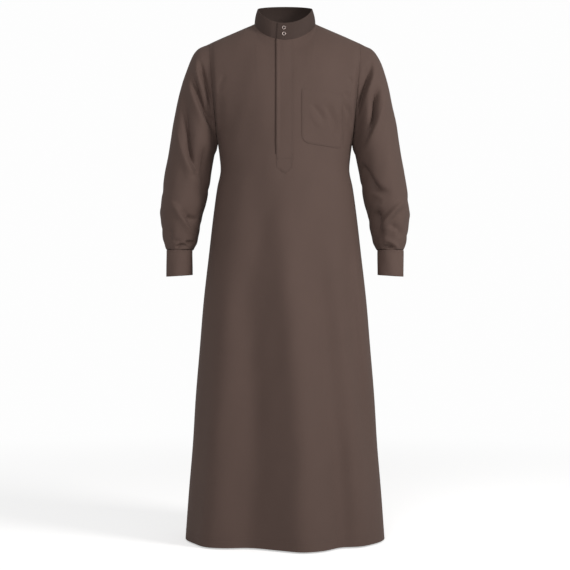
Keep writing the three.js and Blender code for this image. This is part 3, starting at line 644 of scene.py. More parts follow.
def cloth_shell(name, outer, thickness, facing, closed=False, groove=None, finish="thobe_cloth"):
    """A closed wall of cloth under a grid of outer points, with a map along the weave.

    facing is 1 where columns crossed with rows point outwards, else -1. groove sinks the outer
    points by that much, as the seams do.
    """
    normals = grid_normals(outer, closed) * facing
    if groove is not None:
        outer = outer - normals * groove[..., None]
    inner = outer - normals * np.broadcast_to(thickness, outer.shape[:2])[..., None]
    row_count, column_count = outer.shape[:2]
    lengths = surface_lengths(outer, closed)
    cells_across = column_count if closed else column_count - 1
    ends = np.arange(cells_across)
    r, c = (grid.ravel() for grid in np.meshgrid(np.arange(row_count - 1), ends, indexing="ij"))
    first = np.zeros(cells_across, dtype=int)
    last = np.full(cells_across, row_count - 1)
    base = row_count * column_count

    def quad_set(corners):
        ids = [layer * base + row * column_count + column % column_count for layer, row, column in corners]
        uvs = [lengths[row, column] for _, row, column in corners]
        return np.stack(ids, axis=1), np.stack(uvs, axis=1)

    sets = [
        quad_set([(0, r, c), (0, r, c + 1), (0, r + 1, c + 1), (0, r + 1, c)]),
        quad_set([(1, r, c), (1, r + 1, c), (1, r + 1, c + 1), (1, r, c + 1)]),
        quad_set([(0, first, ends + 1), (0, first, ends), (1, first, ends), (1, first, ends + 1)]),
        quad_set([(0, last, ends), (0, last, ends + 1), (1, last, ends + 1), (1, last, ends)]),
    ]
    if not closed:
        rows = np.arange(row_count - 1)
        left = np.zeros(row_count - 1, dtype=int)
        right = np.full(row_count - 1, column_count - 1)
        for side, low, high in ((left, rows, rows + 1), (right, rows + 1, rows)):
            sets.append(quad_set([(0, low, side), (0, high, side), (1, high, side), (1, low, side)]))
    faces = np.concatenate([ids for ids, _ in sets])
    corner_uvs = np.concatenate([uvs for _, uvs in sets])
    if facing < 0:
        faces = faces[:, ::-1]
        corner_uvs = corner_uvs[:, ::-1]
    vertices = np.concatenate([outer.reshape(-1, 3), inner.reshape(-1, 3)]) * MM
    mesh = bpy.data.meshes.new(name)
    mesh.from_pydata(vertices.tolist(), [], faces.tolist())
    layer = mesh.uv_layers.new(name="weave")
    layer.data.foreach_set("uv", corner_uvs.reshape(-1).astype(np.float32))
    # Inner faces take slot 1, a darker copy of the cloth: painted shade on the reverse.
    inside = np.zeros(len(faces), dtype=np.int32)
    inside[len(r):2 * len(r)] = 1
    mesh.polygons.foreach_set("material_index", inside)
    mesh.shade_smooth()
    mesh.set_sharp_from_angle(angle=math.radians(55))
    return add_object(name, mesh, [finish, "cloth_inside"])


def round_edges(obj, width):
    """A soft bevel along the sharp rims of a stiffened piece."""
    bevel = obj.modifiers.new("soft_edges", "BEVEL")
    bevel.width = width * MM
    bevel.segments = 2
    bevel.limit_method = "ANGLE"
    bevel.angle_limit = math.radians(50)
    bevel.harden_normals = False


def even_steps(low, high, cells):
    return np.linspace(low, high, cells + 1)


def edge_steps(low, high, cells, margins):
    """Even steps with finer ones close to both ends, so that seams stay crisp."""
    inside = even_steps(low + margins[-1], high - margins[-1], cells)[1:-1]
    start = low + np.array(margins)
    end = high - np.array(margins)[::-1]
    return np.concatenate([start, inside, end])


# Finished pieces

PANEL_SIDE_MARGINS = (0, 0.0015, 0.004, 0.008, 0.014, 0.024, 0.038)
PANEL_TOP_MARGINS = (0, 0.004, 0.010, 0.020, 0.034)


def panel_grid_steps():
    across = edge_steps(-1, 1, 132, PANEL_SIDE_MARGINS)
    skirt = 1 - even_steps(1, 0, 84) ** 1.35
    chest = even_steps(1, 2 - PANEL_TOP_MARGINS[-1], 100)[1:-1]
    top = 2 - np.array(PANEL_TOP_MARGINS)[::-1]
    return np.concatenate([skirt, chest, top]), across


def seam_groove_depth(distance):
    return SEAM_GROOVE * np.exp(-((distance / SEAM_GROOVE_WIDTH) ** 2))


def build_panel(side):
    name = depth_name(side)
    rows, columns = panel_grid_steps()
    s, t = np.meshgrid(rows, columns, indexing="ij")
    points = panel_points(side, s, t)
    from_side = edge_distance(side, s, t)
    from_top = np.linalg.norm(points - points[-1:], axis=-1)
    on_shoulder = smooth((s - 1.45) / 0.4)
    groove = seam_groove_depth(np.minimum(from_side, from_top)) * (1 - 0.75 * on_shoulder)
    thickness = np.where(points[..., 2] < HEM_Z + HEM_DEPTH, WALLS["hem"], WALLS["panel"])
    return cloth_shell(f"{name}_panel", points, thickness, -side, groove=groove)


def sleeve_points(sign, u, turn):
    """Sleeve points: u runs along the table's rows, turn is 0 at the inner edge, a quarter in front."""
    u, turn = np.broadcast_arrays(np.asarray(u, float), np.asarray(turn, float))
    angle = turn * 2 * math.pi
    outward = (1 - np.cos(angle)) / 2
    ahead = np.sin(angle) >= 0
    side = np.where(ahead, FRONT, BACK)
    depth = np.abs(np.sin(angle)) * np.where(
        ahead, read_curve(SLEEVE_ROWS, "front", u), read_curve(SLEEVE_ROWS, "back", u)
    )
    x = sign * mix(read_curve(SLEEVE_ROWS, "in_x", u), read_curve(SLEEVE_ROWS, "out_x", u), outward)
    z = mix(read_curve(SLEEVE_ROWS, "in_z", u), read_curve(SLEEVE_ROWS, "out_z", u), outward)
    seam_y = mix(UNDERARM.y, SHOULDER.y, outward) * smooth(1 - u / 4)
    return np.stack([x, seam_y + side * depth, z], axis=-1)


def sleeve_lift(sign, points, u, turn):
    hand = "left" if sign > 0 else "right"
    angle = turn * 2 * math.pi
    facing = smooth(np.abs(np.sin(angle)) / 0.5)
    ends = smooth(u / 0.9) * smooth((SLEEVE_END - u) / 0.5)
    x, z = points[..., 0], points[..., 2]
    front_lift = crease_lift(SLEEVE_CREASES[hand, FRONT], x, z)
    back_lift = crease_lift(SLEEVE_CREASES[hand, BACK], x, z)
    lift = np.where(np.sin(angle) >= 0, front_lift, back_lift) * facing
    ring_z = mix(read_curve(SLEEVE_ROWS, "in_z", u), read_curve(SLEEVE_ROWS, "out_z", u), 0.5)
    per_degree = SLEEVE_GIRTH_RADIUS * math.pi / 180
    side_creases = [
        crease._replace(path=[(degrees * per_degree, up) for degrees, up in crease.path])
        for crease in SLEEVE_SIDE_CREASES[hand]
    ]
    degrees = turn * 360
    wrapped = np.where(degrees < 60, degrees + 360, degrees)
    lift = lift + crease_lift(side_creases, wrapped * per_degree, ring_z)
    gathers = np.zeros(lift.shape)
    for gather in CUFF_GATHERS:
        away = (degrees - gather.angle * (1 if sign > 0 else 0.97) + 180) % 360 - 180
        gathers += gather.height * np.exp(-((away / gather.width) ** 2) / 2)
    above = ring_z - CUFF["top_z"]
    lift = lift + (gathers - GATHER_MEAN) * np.exp(-above / GATHER_REACH) * smooth(above / 8)
    waves = wave_lift(x * 1.7 + 40, z * 1.3)
    return (lift + waves + SLEEVE_EASE) * ends


def build_sleeve(sign):
    name = "left" if sign > 0 else "right"
    rows = np.concatenate([
        [0, 0.03, 0.08, 0.16, 0.28, 0.42],
        even_steps(0.58, SLEEVE_END - 0.06, 194),
        [SLEEVE_END],
    ])
    turns = np.arange(SLEEVE_COLUMNS) / SLEEVE_COLUMNS
    u, turn = np.meshgrid(rows, turns, indexing="ij")
    points = sleeve_points(sign, u, turn)
    normals = grid_normals(points, True) * -sign
    points = points + normals * sleeve_lift(sign, points, u, turn)[..., None]
    from_seam = np.linalg.norm(points - points[:1], axis=-1)
    valley_at = np.where(turn <= 0.5, 2 * turn, 2 - 2 * turn)
    valley = read_curve(ARMHOLE_VALLEY, "depth", valley_at)
    valley = valley * np.exp(-((from_seam / SLEEVE_VALLEY_WIDTH) ** 2) / 2)
    points[..., 1] += np.where(turn <= 0.5, 1, -1) * valley
    points[..., 0] += sign * 0.15
    on_shoulder = smooth((valley_at - 0.45) / 0.4)
    groove = seam_groove_depth(from_seam) * (1 - 0.75 * on_shoulder)
    return cloth_shell(f"sleeve_{name}_cloth", points, WALLS["sleeve"], -sign, closed=True, groove=groove)


def lap_step(degrees):
    return LAP_STEP * (1 - smooth((degrees - LAP_DEGREES) / LAP_DEGREES))


def collar_points(rise, degrees):
    angle = np.radians(degrees)
    low = neck_ring(NECK, angle, -1)
    high = neck_ring(COLLAR_TOP, angle, -1)
    outward = np.stack([-np.sin(angle), -np.cos(angle), np.zeros(np.shape(angle))], axis=-1)
    swell = COLLAR_BULGE * np.sin(math.pi * rise) - lap_step(degrees)
    points = mix(low, high, rise[..., None]) + outward * swell[..., None]
    points[..., 2] -= COLLAR_TUCK * (1 - rise)
    return points


def cuff_points(sign, rise, degrees):
    angle = np.radians(degrees)
    radius = CUFF["radius"] - lap_step(degrees)
    bottom_z = CUFF["bottom_z"] + CUFF["tilt"] * np.sin(angle)
    return np.stack(
        [
            sign * (CUFF["x"] - radius * np.sin(angle)),
            CUFF["y"] + radius * np.cos(angle),
            mix(bottom_z, CUFF["top_z"], rise),
        ],
        axis=-1,
    )


def cuff_ripple(rise, degrees):
    """The slight unevenness of a pressed cuff, in X and Y."""
    ripple = np.sin(np.radians(degrees) * CUFF_RIPPLES + rise * 4) * CUFF_RIPPLE_HEIGHT
    return ripple[..., None] * np.array([1, 1, 0])


def band_grid(rows, columns):
    rise, degrees = np.meshgrid(
        even_steps(0, 1, rows), even_steps(-LAP_DEGREES, 360 + LAP_DEGREES, columns), indexing="ij"
    )
    return rise, degrees


def build_collar():
    points = collar_points(*band_grid(24, 200))
    # The collar takes a darker copy of the cloth: painted shade.
    collar = cloth_shell("collar_band", points, WALLS["collar"], -1, finish="collar_cloth")
    round_edges(collar, BAND_ROUNDING)
    return collar


def build_cuff(sign):
    name = "left" if sign > 0 else "right"
    rise, degrees = band_grid(30, 150)
    points = cuff_points(sign, rise, degrees) + cuff_ripple(rise, degrees)
    # The cuffs take a lighter copy of the cloth: painted light.
    cuff = cloth_shell(f"cuff_{name}_band", points, WALLS["cuff"], sign, finish="cuff_cloth")
    round_edges(cuff, BAND_ROUNDING)
    return cuff


def front_place(x, z):
    """The s and t of the front panel's points that show at x and z in the front view."""
    x, z = np.broadcast_arrays(np.asarray(x, float), np.asarray(z, float))
    below = (z - HEM_Z) / (UNDERARM.z - HEM_Z)
    above = 1 + (z - UNDERARM.z) / (NECK["front_z"] - UNDERARM.z)
    s = np.where(z < UNDERARM.z, below, above)
    t = np.arcsin(np.clip(x / body_size("half", z), -1, 1)) / QUARTER_TURN
    step = 1e-4
    for _ in range(20):
        here = plain_panel(FRONT, s, t)
        along_s = (plain_panel(FRONT, s + step, t) - here) / step
        along_t = (plain_panel(FRONT, s, t + step) - here) / step
        area = along_s[..., 0] * along_t[..., 2] - along_s[..., 2] * along_t[..., 0]
        miss_x, miss_z = x - here[..., 0], z - here[..., 2]
        s = np.clip(s + (miss_x * along_t[..., 2] - miss_z * along_t[..., 0]) / area, 0, 2)
        t = np.clip(t + (along_s[..., 0] * miss_z - along_s[..., 2] * miss_x) / area, -1, 1)
    return s, t


def on_front(x, z, move_out):
    """Points that lie on the front panel at x and z, moved out along its normal."""
    s, t = front_place(x, z)
    step = 2e-3
    low_s, high_s = np.clip(s - step, 0, 2), np.clip(s + step, 0, 2)
    along_s = panel_points(FRONT, high_s, t) - panel_points(FRONT, low_s, t)
    along_t = panel_points(FRONT, s, t + step) - panel_points(FRONT, s, t - step)
    normal = np.cross(along_t, along_s)
    normal /= np.linalg.norm(normal, axis=-1, keepdims=True)
    return panel_points(FRONT, s, t) + normal * np.broadcast_to(move_out, np.shape(s))[..., None]


def neckline_z(x):
    return neck_ring(NECK, np.arcsin(x / NECK["half_width"]), 1)[..., 2]


def free_edge_lift(x, z):
    """How far the placket's free edge stands off the panel beside the slit."""
    outward = (x - FREE_EDGE_START) / (PLACKET["left_x"] - FREE_EDGE_START)
    return FREE_EDGE_LIFT * smooth(outward) * smooth((z - SLIT["end_z"]) / FREE_EDGE_RISE)


def build_placket():
    x = edge_steps(PLACKET["left_x"], PLACKET["right_x"], 22, (0, 0.5, 1.2))
    rise, x = np.meshgrid(even_steps(0, 1, 150), x, indexing="ij")
    to_corner = np.where(x < 0, x / PLACKET["left_x"], x / PLACKET["right_x"])
    bottom_z = mix(PLACKET["tip_z"], PLACKET["corner_z"], to_corner)
    z = mix(bottom_z, neckline_z(x) - PLACKET["below_neck"], rise)
    sewn_down = mix(0.35, 1.0, smooth((z - PLACKET["corner_z"] + 4) / 36))
    move_out = STRIP_SEAT + WALLS["strip"] * sewn_down + free_edge_lift(x, z)
    placket = cloth_shell("placket_strip", on_front(x, z, move_out), WALLS["strip"], 1)
    round_edges(placket, STRIP_ROUNDING)
    return placket


def build_underlap():
    rise, x = np.meshgrid(
        even_steps(0, 1, 90), even_steps(UNDERLAP["left_x"], UNDERLAP["right_x"], 12), indexing="ij"
    )
    z = mix(float(UNDERLAP["end_z"]), neckline_z(x) - UNDERLAP["below_neck"], rise)
    return cloth_shell("underlap_strip", on_front(x, z, -WALLS["panel"] - UNDERLAP_DROP), WALLS["strip"], 1)


def pocket_place(rise, share):
    """X and Z of the pocket at shares of its height and width, with its lower corners rounded."""
    corners = {name: np.array(place, dtype=float) for name, place in POCKET.items()}
    width = corners["top_right"][0] - corners["top_left"][0]
    inward = np.maximum(0, POCKET_CORNER - np.minimum(share, 1 - share) * width)
    cut = POCKET_CORNER - np.sqrt(POCKET_CORNER**2 - inward**2)
    bottom = mix(corners["bottom_left"], corners["bottom_right"], share[..., None])
    bottom[..., 1] += cut
    top = mix(corners["top_left"], corners["top_right"], share[..., None])
    place = mix(bottom, top, rise[..., None])
    return place[..., 0], place[..., 1]


def build_pocket():
    columns = edge_steps(0, 1, 64, (0, 0.003, 0.008, 0.016))
    rise, share = np.meshgrid(edge_steps(0, 1, 60, (0, 0.004, 0.01)), columns, indexing="ij")
    x, z = pocket_place(rise, share)
    raised = mix(1.0, 0.35, smooth((share - 0.7) / 0.3)) * mix(1.0, 0.45, smooth((rise - 0.88) / 0.12))
    points = on_front(x, z, STRIP_SEAT + WALLS["strip"] * raised)
    pocket = cloth_shell("pocket_patch", points, WALLS["strip"], 1)
    round_edges(pocket, STRIP_ROUNDING)
    return pocket


def cut_slit(panel):
    """Cuts the placket's slit through the front panel."""
    width = SLIT["right_x"] - SLIT["left_x"]
    height = NECK["side_z"] - SLIT["end_z"]
    size = Vector((width, 150, height)) * MM
    middle = Vector((SLIT["left_x"] + width / 2, -115, SLIT["end_z"] + height / 2)) * MM
    corners = [(x, y, z) for x in (-0.5, 0.5) for y in (-0.5, 0.5) for z in (-0.5, 0.5)]
    quads = [(0, 1, 3, 2), (4, 6, 7, 5), (0, 4, 5, 1), (2, 3, 7, 6), (0, 2, 6, 4), (1, 5, 7, 3)]
    mesh = bpy.data.meshes.new("slit_cutter")
    mesh.from_pydata([middle + Vector(corner) * size for corner in corners], [], quads)
    cutter = bpy.data.objects.new("slit_cutter", mesh)
    bpy.context.scene.collection.objects.link(cutter)
    cut = panel.modifiers.new("slit", "BOOLEAN")
    cut.operation = "DIFFERENCE"
    cut.object = cutter
    cut.solver = "EXACT"
    make_plain(panel)
    bpy.data.objects.remove(cutter)
    bpy.data.meshes.remove(mesh)


def make_plain(obj):
    """Turns an object's modifiers into its mesh."""
    depsgraph = bpy.context.evaluated_depsgraph_get()
    mesh = bpy.data.meshes.new_from_object(obj.evaluated_get(depsgraph), depsgraph=depsgraph)
    obj.modifiers.clear()
    old = obj.data
    obj.data = mesh
    bpy.data.meshes.remove(old)


# Fasteners

def band_seat(points_at, rise, degrees, facing):
    """A point on a band's outer face and the directions along it, up it and out of it."""
    rise, degrees = np.array([rise]), np.array([degrees])
    point = points_at(rise, degrees)[0]
    along = points_at(rise, degrees + 0.5)[0] - points_at(rise, degrees - 0.5)[0]
    up = points_at(rise + 0.02, degrees)[0] - points_at(rise - 0.02, degrees)[0]
    out = Vector(np.cross(along, up) * facing).normalized()
    up = Vector(up).normalized()
    side = up.cross(out).normalized()
    return Vector(point), Matrix((side, out.cross(side), out)).transposed()


def lathe(name, profile, sides, materials, point, axes, stand_off, shift=0.0):
    """A round fastener from a profile of radius, height and material number, set at a point."""
    vertices, faces, slots = [], [], []
    rings = []
    for radius, height, _ in profile:
        if radius == 0:
            rings.append([len(vertices)] * sides)
            vertices.append(Vector((0, 0, height)))
            continue
        rings.append(list(range(len(vertices), len(vertices) + sides)))
        for k in range(sides):
            angle = 2 * math.pi * k / sides
            vertices.append(Vector((radius * math.cos(angle), radius * math.sin(angle), height)))
    for k, (low, high) in enumerate(zip(rings[:-1], rings[1:])):
        for j in range(sides):
            corners = [low[j], low[(j + 1) % sides], high[(j + 1) % sides], high[j]]
            face = list(dict.fromkeys(corners))
            faces.append(face)
            slots.append(profile[k + 1][2])
    place = point + axes @ Vector((0, 0, stand_off)) + Vector((shift, 0, 0))
    mesh = bpy.data.meshes.new(name)
    mesh.from_pydata([(place + axes @ vertex) * MM for vertex in vertices], [], faces)
    mesh.polygons.foreach_set("material_index", slots)
    mesh.shade_smooth()
    mesh.set_sharp_from_angle(angle=math.radians(40))
    return add_object(name, mesh, materials)


# Material 1 is the near-black middle: painted shade in the hollow of the open ring.
SNAP_PROFILE = [
    (0, 0, 0), (5.2, 0, 0), (5.5, 0.3, 0), (5.5, 0.7, 0), (5.25, 1.15, 0), (4.8, 1.5, 0), (4.3, 1.6, 0),
    (3.8, 1.5, 0), (3.4, 1.2, 0), (3.1, 0.85, 0), (2.9, 0.75, 1), (1.5, 0.62, 1), (0.9, 0.7, 1), (0, 0.75, 1),
]
BUTTON_PROFILE = [
    (0, 0, 0), (4.6, 0, 0), (5.3, 0.4, 0), (5.75, 1.1, 0), (5.75, 1.7, 0), (5.4, 2.3, 0), (4.9, 2.6, 0),
    (4.4, 2.55, 0), (4.0, 2.2, 0), (3.6, 1.95, 0), (2.0, 1.85, 0), (0, 1.85, 0),
]
SNAP_RISES = {"collar_snap_lower": 0.36, "collar_snap_upper": 0.71}
SNAP_X = -3
BUTTON_HOLE_REACH = 1.15
BUTTON_HOLE_RADIUS = 0.62


def build_snap(node, rise):
    seat, turn = band_seat(collar_points, rise, 360, -1)
    return lathe(f"{node}_ring", SNAP_PROFILE, 56, ["snap_metal", "snap_socket"], seat, turn, 0.05, SNAP_X)


def build_button(sign):
    name = "left" if sign > 0 else "right"
    seat, turn = band_seat(lambda rise, degrees: cuff_points(sign, rise, degrees), 0.5, 360, sign)
    button = lathe(f"cuff_button_{name}_disc", BUTTON_PROFILE, 48, ["button_shell"], seat, turn, 0.1)
    holes = []
    for k in range(4):
        angle = math.pi / 4 + k * QUARTER_TURN
        offset = Vector((math.cos(angle), math.sin(angle), 0)) * BUTTON_HOLE_REACH * math.sqrt(2)
        post = [(0, 0.8, 0), (BUTTON_HOLE_RADIUS, 0.8, 0), (BUTTON_HOLE_RADIUS, 4, 0), (0, 4, 0)]
        holes.append(lathe(f"hole_{k}", post, 16, ["button_shell"], seat + turn @ offset, turn, 0.1))
    for hole in holes:
        cut = button.modifiers.new("hole", "BOOLEAN")
        cut.object = hole
        cut.solver = "EXACT"
    make_plain(button)
    for hole in holes:
        mesh = hole.data
        bpy.data.objects.remove(hole)
        bpy.data.meshes.remove(mesh)
    return button


# Stitching, by Geometry Nodes

STITCH_STAND_OFF = 0.15
STITCH_INSET = 3
PLACKET_STITCH_SEAT = 0.55
POCKET_STITCH_SEAT = 0.45
BAR_TACK_SEAT = 0.55
POCKET_STITCH_WIDTH, POCKET_STITCH_HEIGHT = 112, 145

def stitch_tree(name, material):
    """A node tree that lays one thread stitch after another along a piece's curves."""
    tree = bpy.data.node_groups.new(name, "GeometryNodeTree")
    face = tree.interface
    face.new_socket("Geometry", in_out="INPUT", socket_type="NodeSocketGeometry")
    for label, default in (("Pitch", 0.0032), ("Length", 0.0025), ("Thickness", 0.0005)):
        socket = face.new_socket(label, in_out="INPUT", socket_type="NodeSocketFloat")
        socket.default_value = default
        socket.subtype = "DISTANCE"
    face.new_socket("Geometry", in_out="OUTPUT", socket_type="NodeSocketGeometry")
    nodes, links = tree.nodes, tree.links
    start = nodes.new("NodeGroupInput")
    resample = nodes.new("GeometryNodeResampleCurve")
    resample.mode = "LENGTH"
    thread = nodes.new("GeometryNodeMeshUVSphere")
    thread.inputs["Segments"].default_value = 6
    thread.inputs["Rings"].default_value = 4
    thread.inputs["Radius"].default_value = 0.5
    size = nodes.new("ShaderNodeCombineXYZ")
    place = nodes.new("GeometryNodeInstanceOnPoints")
    tangent = nodes.new("GeometryNodeInputTangent")
    align = nodes.new("FunctionNodeAlignRotationToVector")
    align.axis = "X"
    realize = nodes.new("GeometryNodeRealizeInstances")
    paint = nodes.new("GeometryNodeSetMaterial")
    paint.inputs["Material"].default_value = material
    end = nodes.new("NodeGroupOutput")
    links.new(start.outputs["Geometry"], resample.inputs["Curve"])
    links.new(start.outputs["Pitch"], resample.inputs["Length"])
    links.new(start.outputs["Length"], size.inputs["X"])
    links.new(start.outputs["Thickness"], size.inputs["Y"])
    links.new(start.outputs["Thickness"], size.inputs["Z"])
    links.new(resample.outputs["Curve"], place.inputs["Points"])
    links.new(thread.outputs["Mesh"], place.inputs["Instance"])
    links.new(tangent.outputs["Tangent"], align.inputs["Vector"])
    links.new(align.outputs["Rotation"], place.inputs["Rotation"])
    links.new(size.outputs["Vector"], place.inputs["Scale"])
    links.new(place.outputs["Instances"], realize.inputs["Geometry"])
    links.new(realize.outputs["Geometry"], paint.inputs["Geometry"])
    links.new(paint.outputs["Geometry"], end.inputs["Geometry"])
    return tree


def stitch_lines(name, lines, settings):
    """One mesh of stitches along lines of points in millimetres."""
    curve = bpy.data.curves.new(name, "CURVE")
    curve.dimensions = "3D"
    for line in lines:
        spline = curve.splines.new("POLY")
        spline.points.add(len(line) - 1)
        places = np.concatenate([np.asarray(line) * MM, np.ones((len(line), 1))], axis=1)
        spline.points.foreach_set("co", places.reshape(-1).astype(np.float32))
    source = bpy.data.objects.new(f"{name}_path", curve)
    bpy.context.scene.collection.objects.link(source)
    tree = bpy.data.node_groups.get("thread_stitches") or stitch_tree(
        "thread_stitches", bpy.data.materials["sewing_thread"]
    )
    laid = source.modifiers.new("stitches", "NODES")
    laid.node_group = tree
    sizes = {
        "Pitch": settings.stitch_pitch,
        "Length": settings.stitch_length,
        "Thickness": settings.thread_thickness,
    }
    for item in tree.interface.items_tree:
        if item.item_type == "SOCKET" and item.in_out == "INPUT" and item.name in sizes:
            laid[item.identifier] = sizes[item.name]
    depsgraph = bpy.context.evaluated_depsgraph_get()
    mesh = bpy.data.meshes.new_from_object(source.evaluated_get(depsgraph), depsgraph=depsgraph)
    mesh.name = name
    bpy.data.objects.remove(source)
    bpy.data.curves.remove(curve)
    mesh.shade_smooth()
    obj = bpy.data.objects.new(name, mesh)
    bpy.context.scene.collection.objects.link(obj)
    return obj


def panel_line(side, s, t):
    """A line on a body panel, just proud of it."""
    s, t = np.broadcast_arrays(np.asarray(s, float), np.asarray(t, float))
    step = 2e-3
    along_s = panel_points(side, np.clip(s + step, 0, 2), t) - panel_points(side, np.clip(s - step, 0, 2), t)
    low_t, high_t = np.clip(t - step, -1, 1), np.clip(t + step, -1, 1)
    along_t = panel_points(side, s, high_t) - panel_points(side, s, low_t)
    normal = np.cross(along_t, along_s) * -side
    normal /= np.maximum(np.linalg.norm(normal, axis=-1, keepdims=True), 1e-9)
    return panel_points(side, s, t) + normal * STITCH_STAND_OFF


def body_stitches():
    lines = []
    across = even_steps(-0.998, 0.998, 400)
    hem_s = HEM_DEPTH / (UNDERARM.z - HEM_Z)
    for side in (FRONT, BACK):
        lines.append(panel_line(side, np.full(across.shape, hem_s), across))
        rise = even_steps(1.03, 1.985, 160)
        for sign in (-1, 1):
            inset = 1 - 6 / np.maximum(60, 300 * np.abs(np.sin((rise - 1) * math.pi)) + 60) * 0.35
            lines.append(panel_line(side, rise, sign * inset))
        seam = even_steps(NECK_SHARE + 0.01, 0.985, 80)
        if side == BACK:
            for sign in (-1, 1):
                lines.append(panel_line(side, np.full(seam.shape, 1.978), sign * seam))
    return lines


def placket_stitches():
    """Stitch lines down both edges of the placket, round its point and across below the slit."""
    top, corner = neckline_z(np.array(0.0)) - 4, PLACKET["corner_z"] + 2
    tip = PLACKET["tip_z"] + 4
    left, right = PLACKET["left_x"] + STITCH_INSET, PLACKET["right_x"] - STITCH_INSET
    over = PLACKET_STITCH_SEAT + WALLS["strip"]
    down, slant = even_steps(0, 1, 120), even_steps(0, 1, 12)[1:]
    x = np.concatenate([np.full(down.shape, right), mix(right, 0, slant), mix(0, left, slant)])
    z = np.concatenate([mix(top, corner, down), mix(corner, tip, slant), mix(tip, corner, slant)])
    free_z = mix(top, corner, down)
    across = even_steps(left, right, 12)
    return [
        on_front(x, z, over),
        on_front(np.full(down.shape, left), free_z, over + free_edge_lift(left, free_z)),
        on_front(across, np.full(across.shape, SLIT["end_z"] - 12.0), over),
    ]


def pocket_stitches():
    """The stitch line round the pocket, and the bar tacks at the ends of its mouth."""
    side, foot = STITCH_INSET / POCKET_STITCH_WIDTH, STITCH_INSET / POCKET_STITCH_HEIGHT
    along = mix(side, 1 - side, even_steps(0, 1, 80))
    share = np.concatenate([np.full(60, side), along, np.full(60, 1 - side)])
    rise = np.concatenate([even_steps(1, foot, 59), np.full(along.shape, foot), even_steps(foot, 1, 59)])
    x, z = pocket_place(rise, share)
    lines = [on_front(x, z, POCKET_STITCH_SEAT + WALLS["strip"])]
    for start, end in ((0.03, 0.1), (0.9, 0.97)):
        share = mix(start, end, even_steps(0, 1, 8))
        x, z = pocket_place(np.full(share.shape, 0.995), share)
        lines.append(on_front(x, z, BAR_TACK_SEAT + WALLS["strip"]))
    return lines


def band_stitches():
    """Stitch lines just inside the edges of the collar and the cuffs."""
    lines = []
    turned = even_steps(-LAP_DEGREES + 32, 360 + LAP_DEGREES - 2.5, 260)
    angle = np.radians(turned)
    outward = np.stack([-np.sin(angle), -np.cos(angle), np.zeros(angle.shape)], axis=-1)
    for rise in (0.09, 0.91):
        points = collar_points(np.full(turned.shape, rise), turned)
        lines.append(points + outward * STITCH_STAND_OFF)
    turned = even_steps(-LAP_DEGREES + 34, 360 + LAP_DEGREES - 4, 220)
    angle = np.radians(turned)
    for sign in (1, -1):
        outward = np.stack([-sign * np.sin(angle), np.cos(angle), np.zeros(angle.shape)], axis=-1)
        for rise in (0.075, 0.93):
            points = cuff_points(sign, np.full(turned.shape, rise), turned) + cuff_ripple(rise, turned)
            lines.append(points + outward * STITCH_STAND_OFF)
    return lines


# Materials

def new_group(name, inputs, outputs):
    group = bpy.data.node_groups.new(name, "ShaderNodeTree")
    for label, kind, default in inputs:
        socket = group.interface.new_socket(label, in_out="INPUT", socket_type=kind)
        if default is not None:
            socket.default_value = default
    for label, kind in outputs:
        group.interface.new_socket(label, in_out="OUTPUT", socket_type=kind)
    start = group.nodes.new("NodeGroupInput")
    end = group.nodes.new("NodeGroupOutput")
    return group, start, end


def maths(tree, operation, first, second=None):
    node = tree.nodes.new("ShaderNodeMath")
    node.operation = operation
    for socket, value in zip(node.inputs, (first, second)):
        if value is None:
            continue
        if isinstance(value, (int, float)):
            socket.default_value = value
        else:
            tree.links.new(value, socket)
    return node.outputs[0]


def weave_group():
    """Fine twill: the warp and weft ridges and the slanting line, from the cloth's own map. Its Shade
    lightens the ridges and darkens the grooves: painted shade.
    """
    group, start, end = new_group(
        "fine_twill",
        [("Map", "NodeSocketVector", None), ("Threads per metre", "NodeSocketFloat", 2200.0)],
        [("Height", "NodeSocketFloat"), ("Shade", "NodeSocketFloat")],
    )
    split = group.nodes.new("ShaderNodeSeparateXYZ")
    group.links.new(start.outputs["Map"], split.inputs[0])
    turns = maths(group, "MULTIPLY", start.outputs["Threads per metre"], 2 * math.pi)
    warp = maths(group, "SINE", maths(group, "MULTIPLY", split.outputs["X"], turns))
    weft = maths(group, "SINE", maths(group, "MULTIPLY", split.outputs["Y"], turns))
    slant = maths(group, "ADD", split.outputs["X"], split.outputs["Y"])
    twill = maths(group, "SINE", maths(group, "MULTIPLY", slant, maths(group, "MULTIPLY", turns, 0.5)))
    ridges = maths(group, "MULTIPLY", maths(group, "ADD", warp, weft), 0.25)
    height = maths(group, "ADD", ridges, maths(group, "MULTIPLY", twill, 0.5))
    group.links.new(height, end.inputs["Height"])
    # Shade: lighter on the ridges and darker in the grooves, painted shade
    group.links.new(maths(group, "ADD", maths(group, "MULTIPLY", height, 0.04), 1.0), end.inputs["Shade"])
    return group


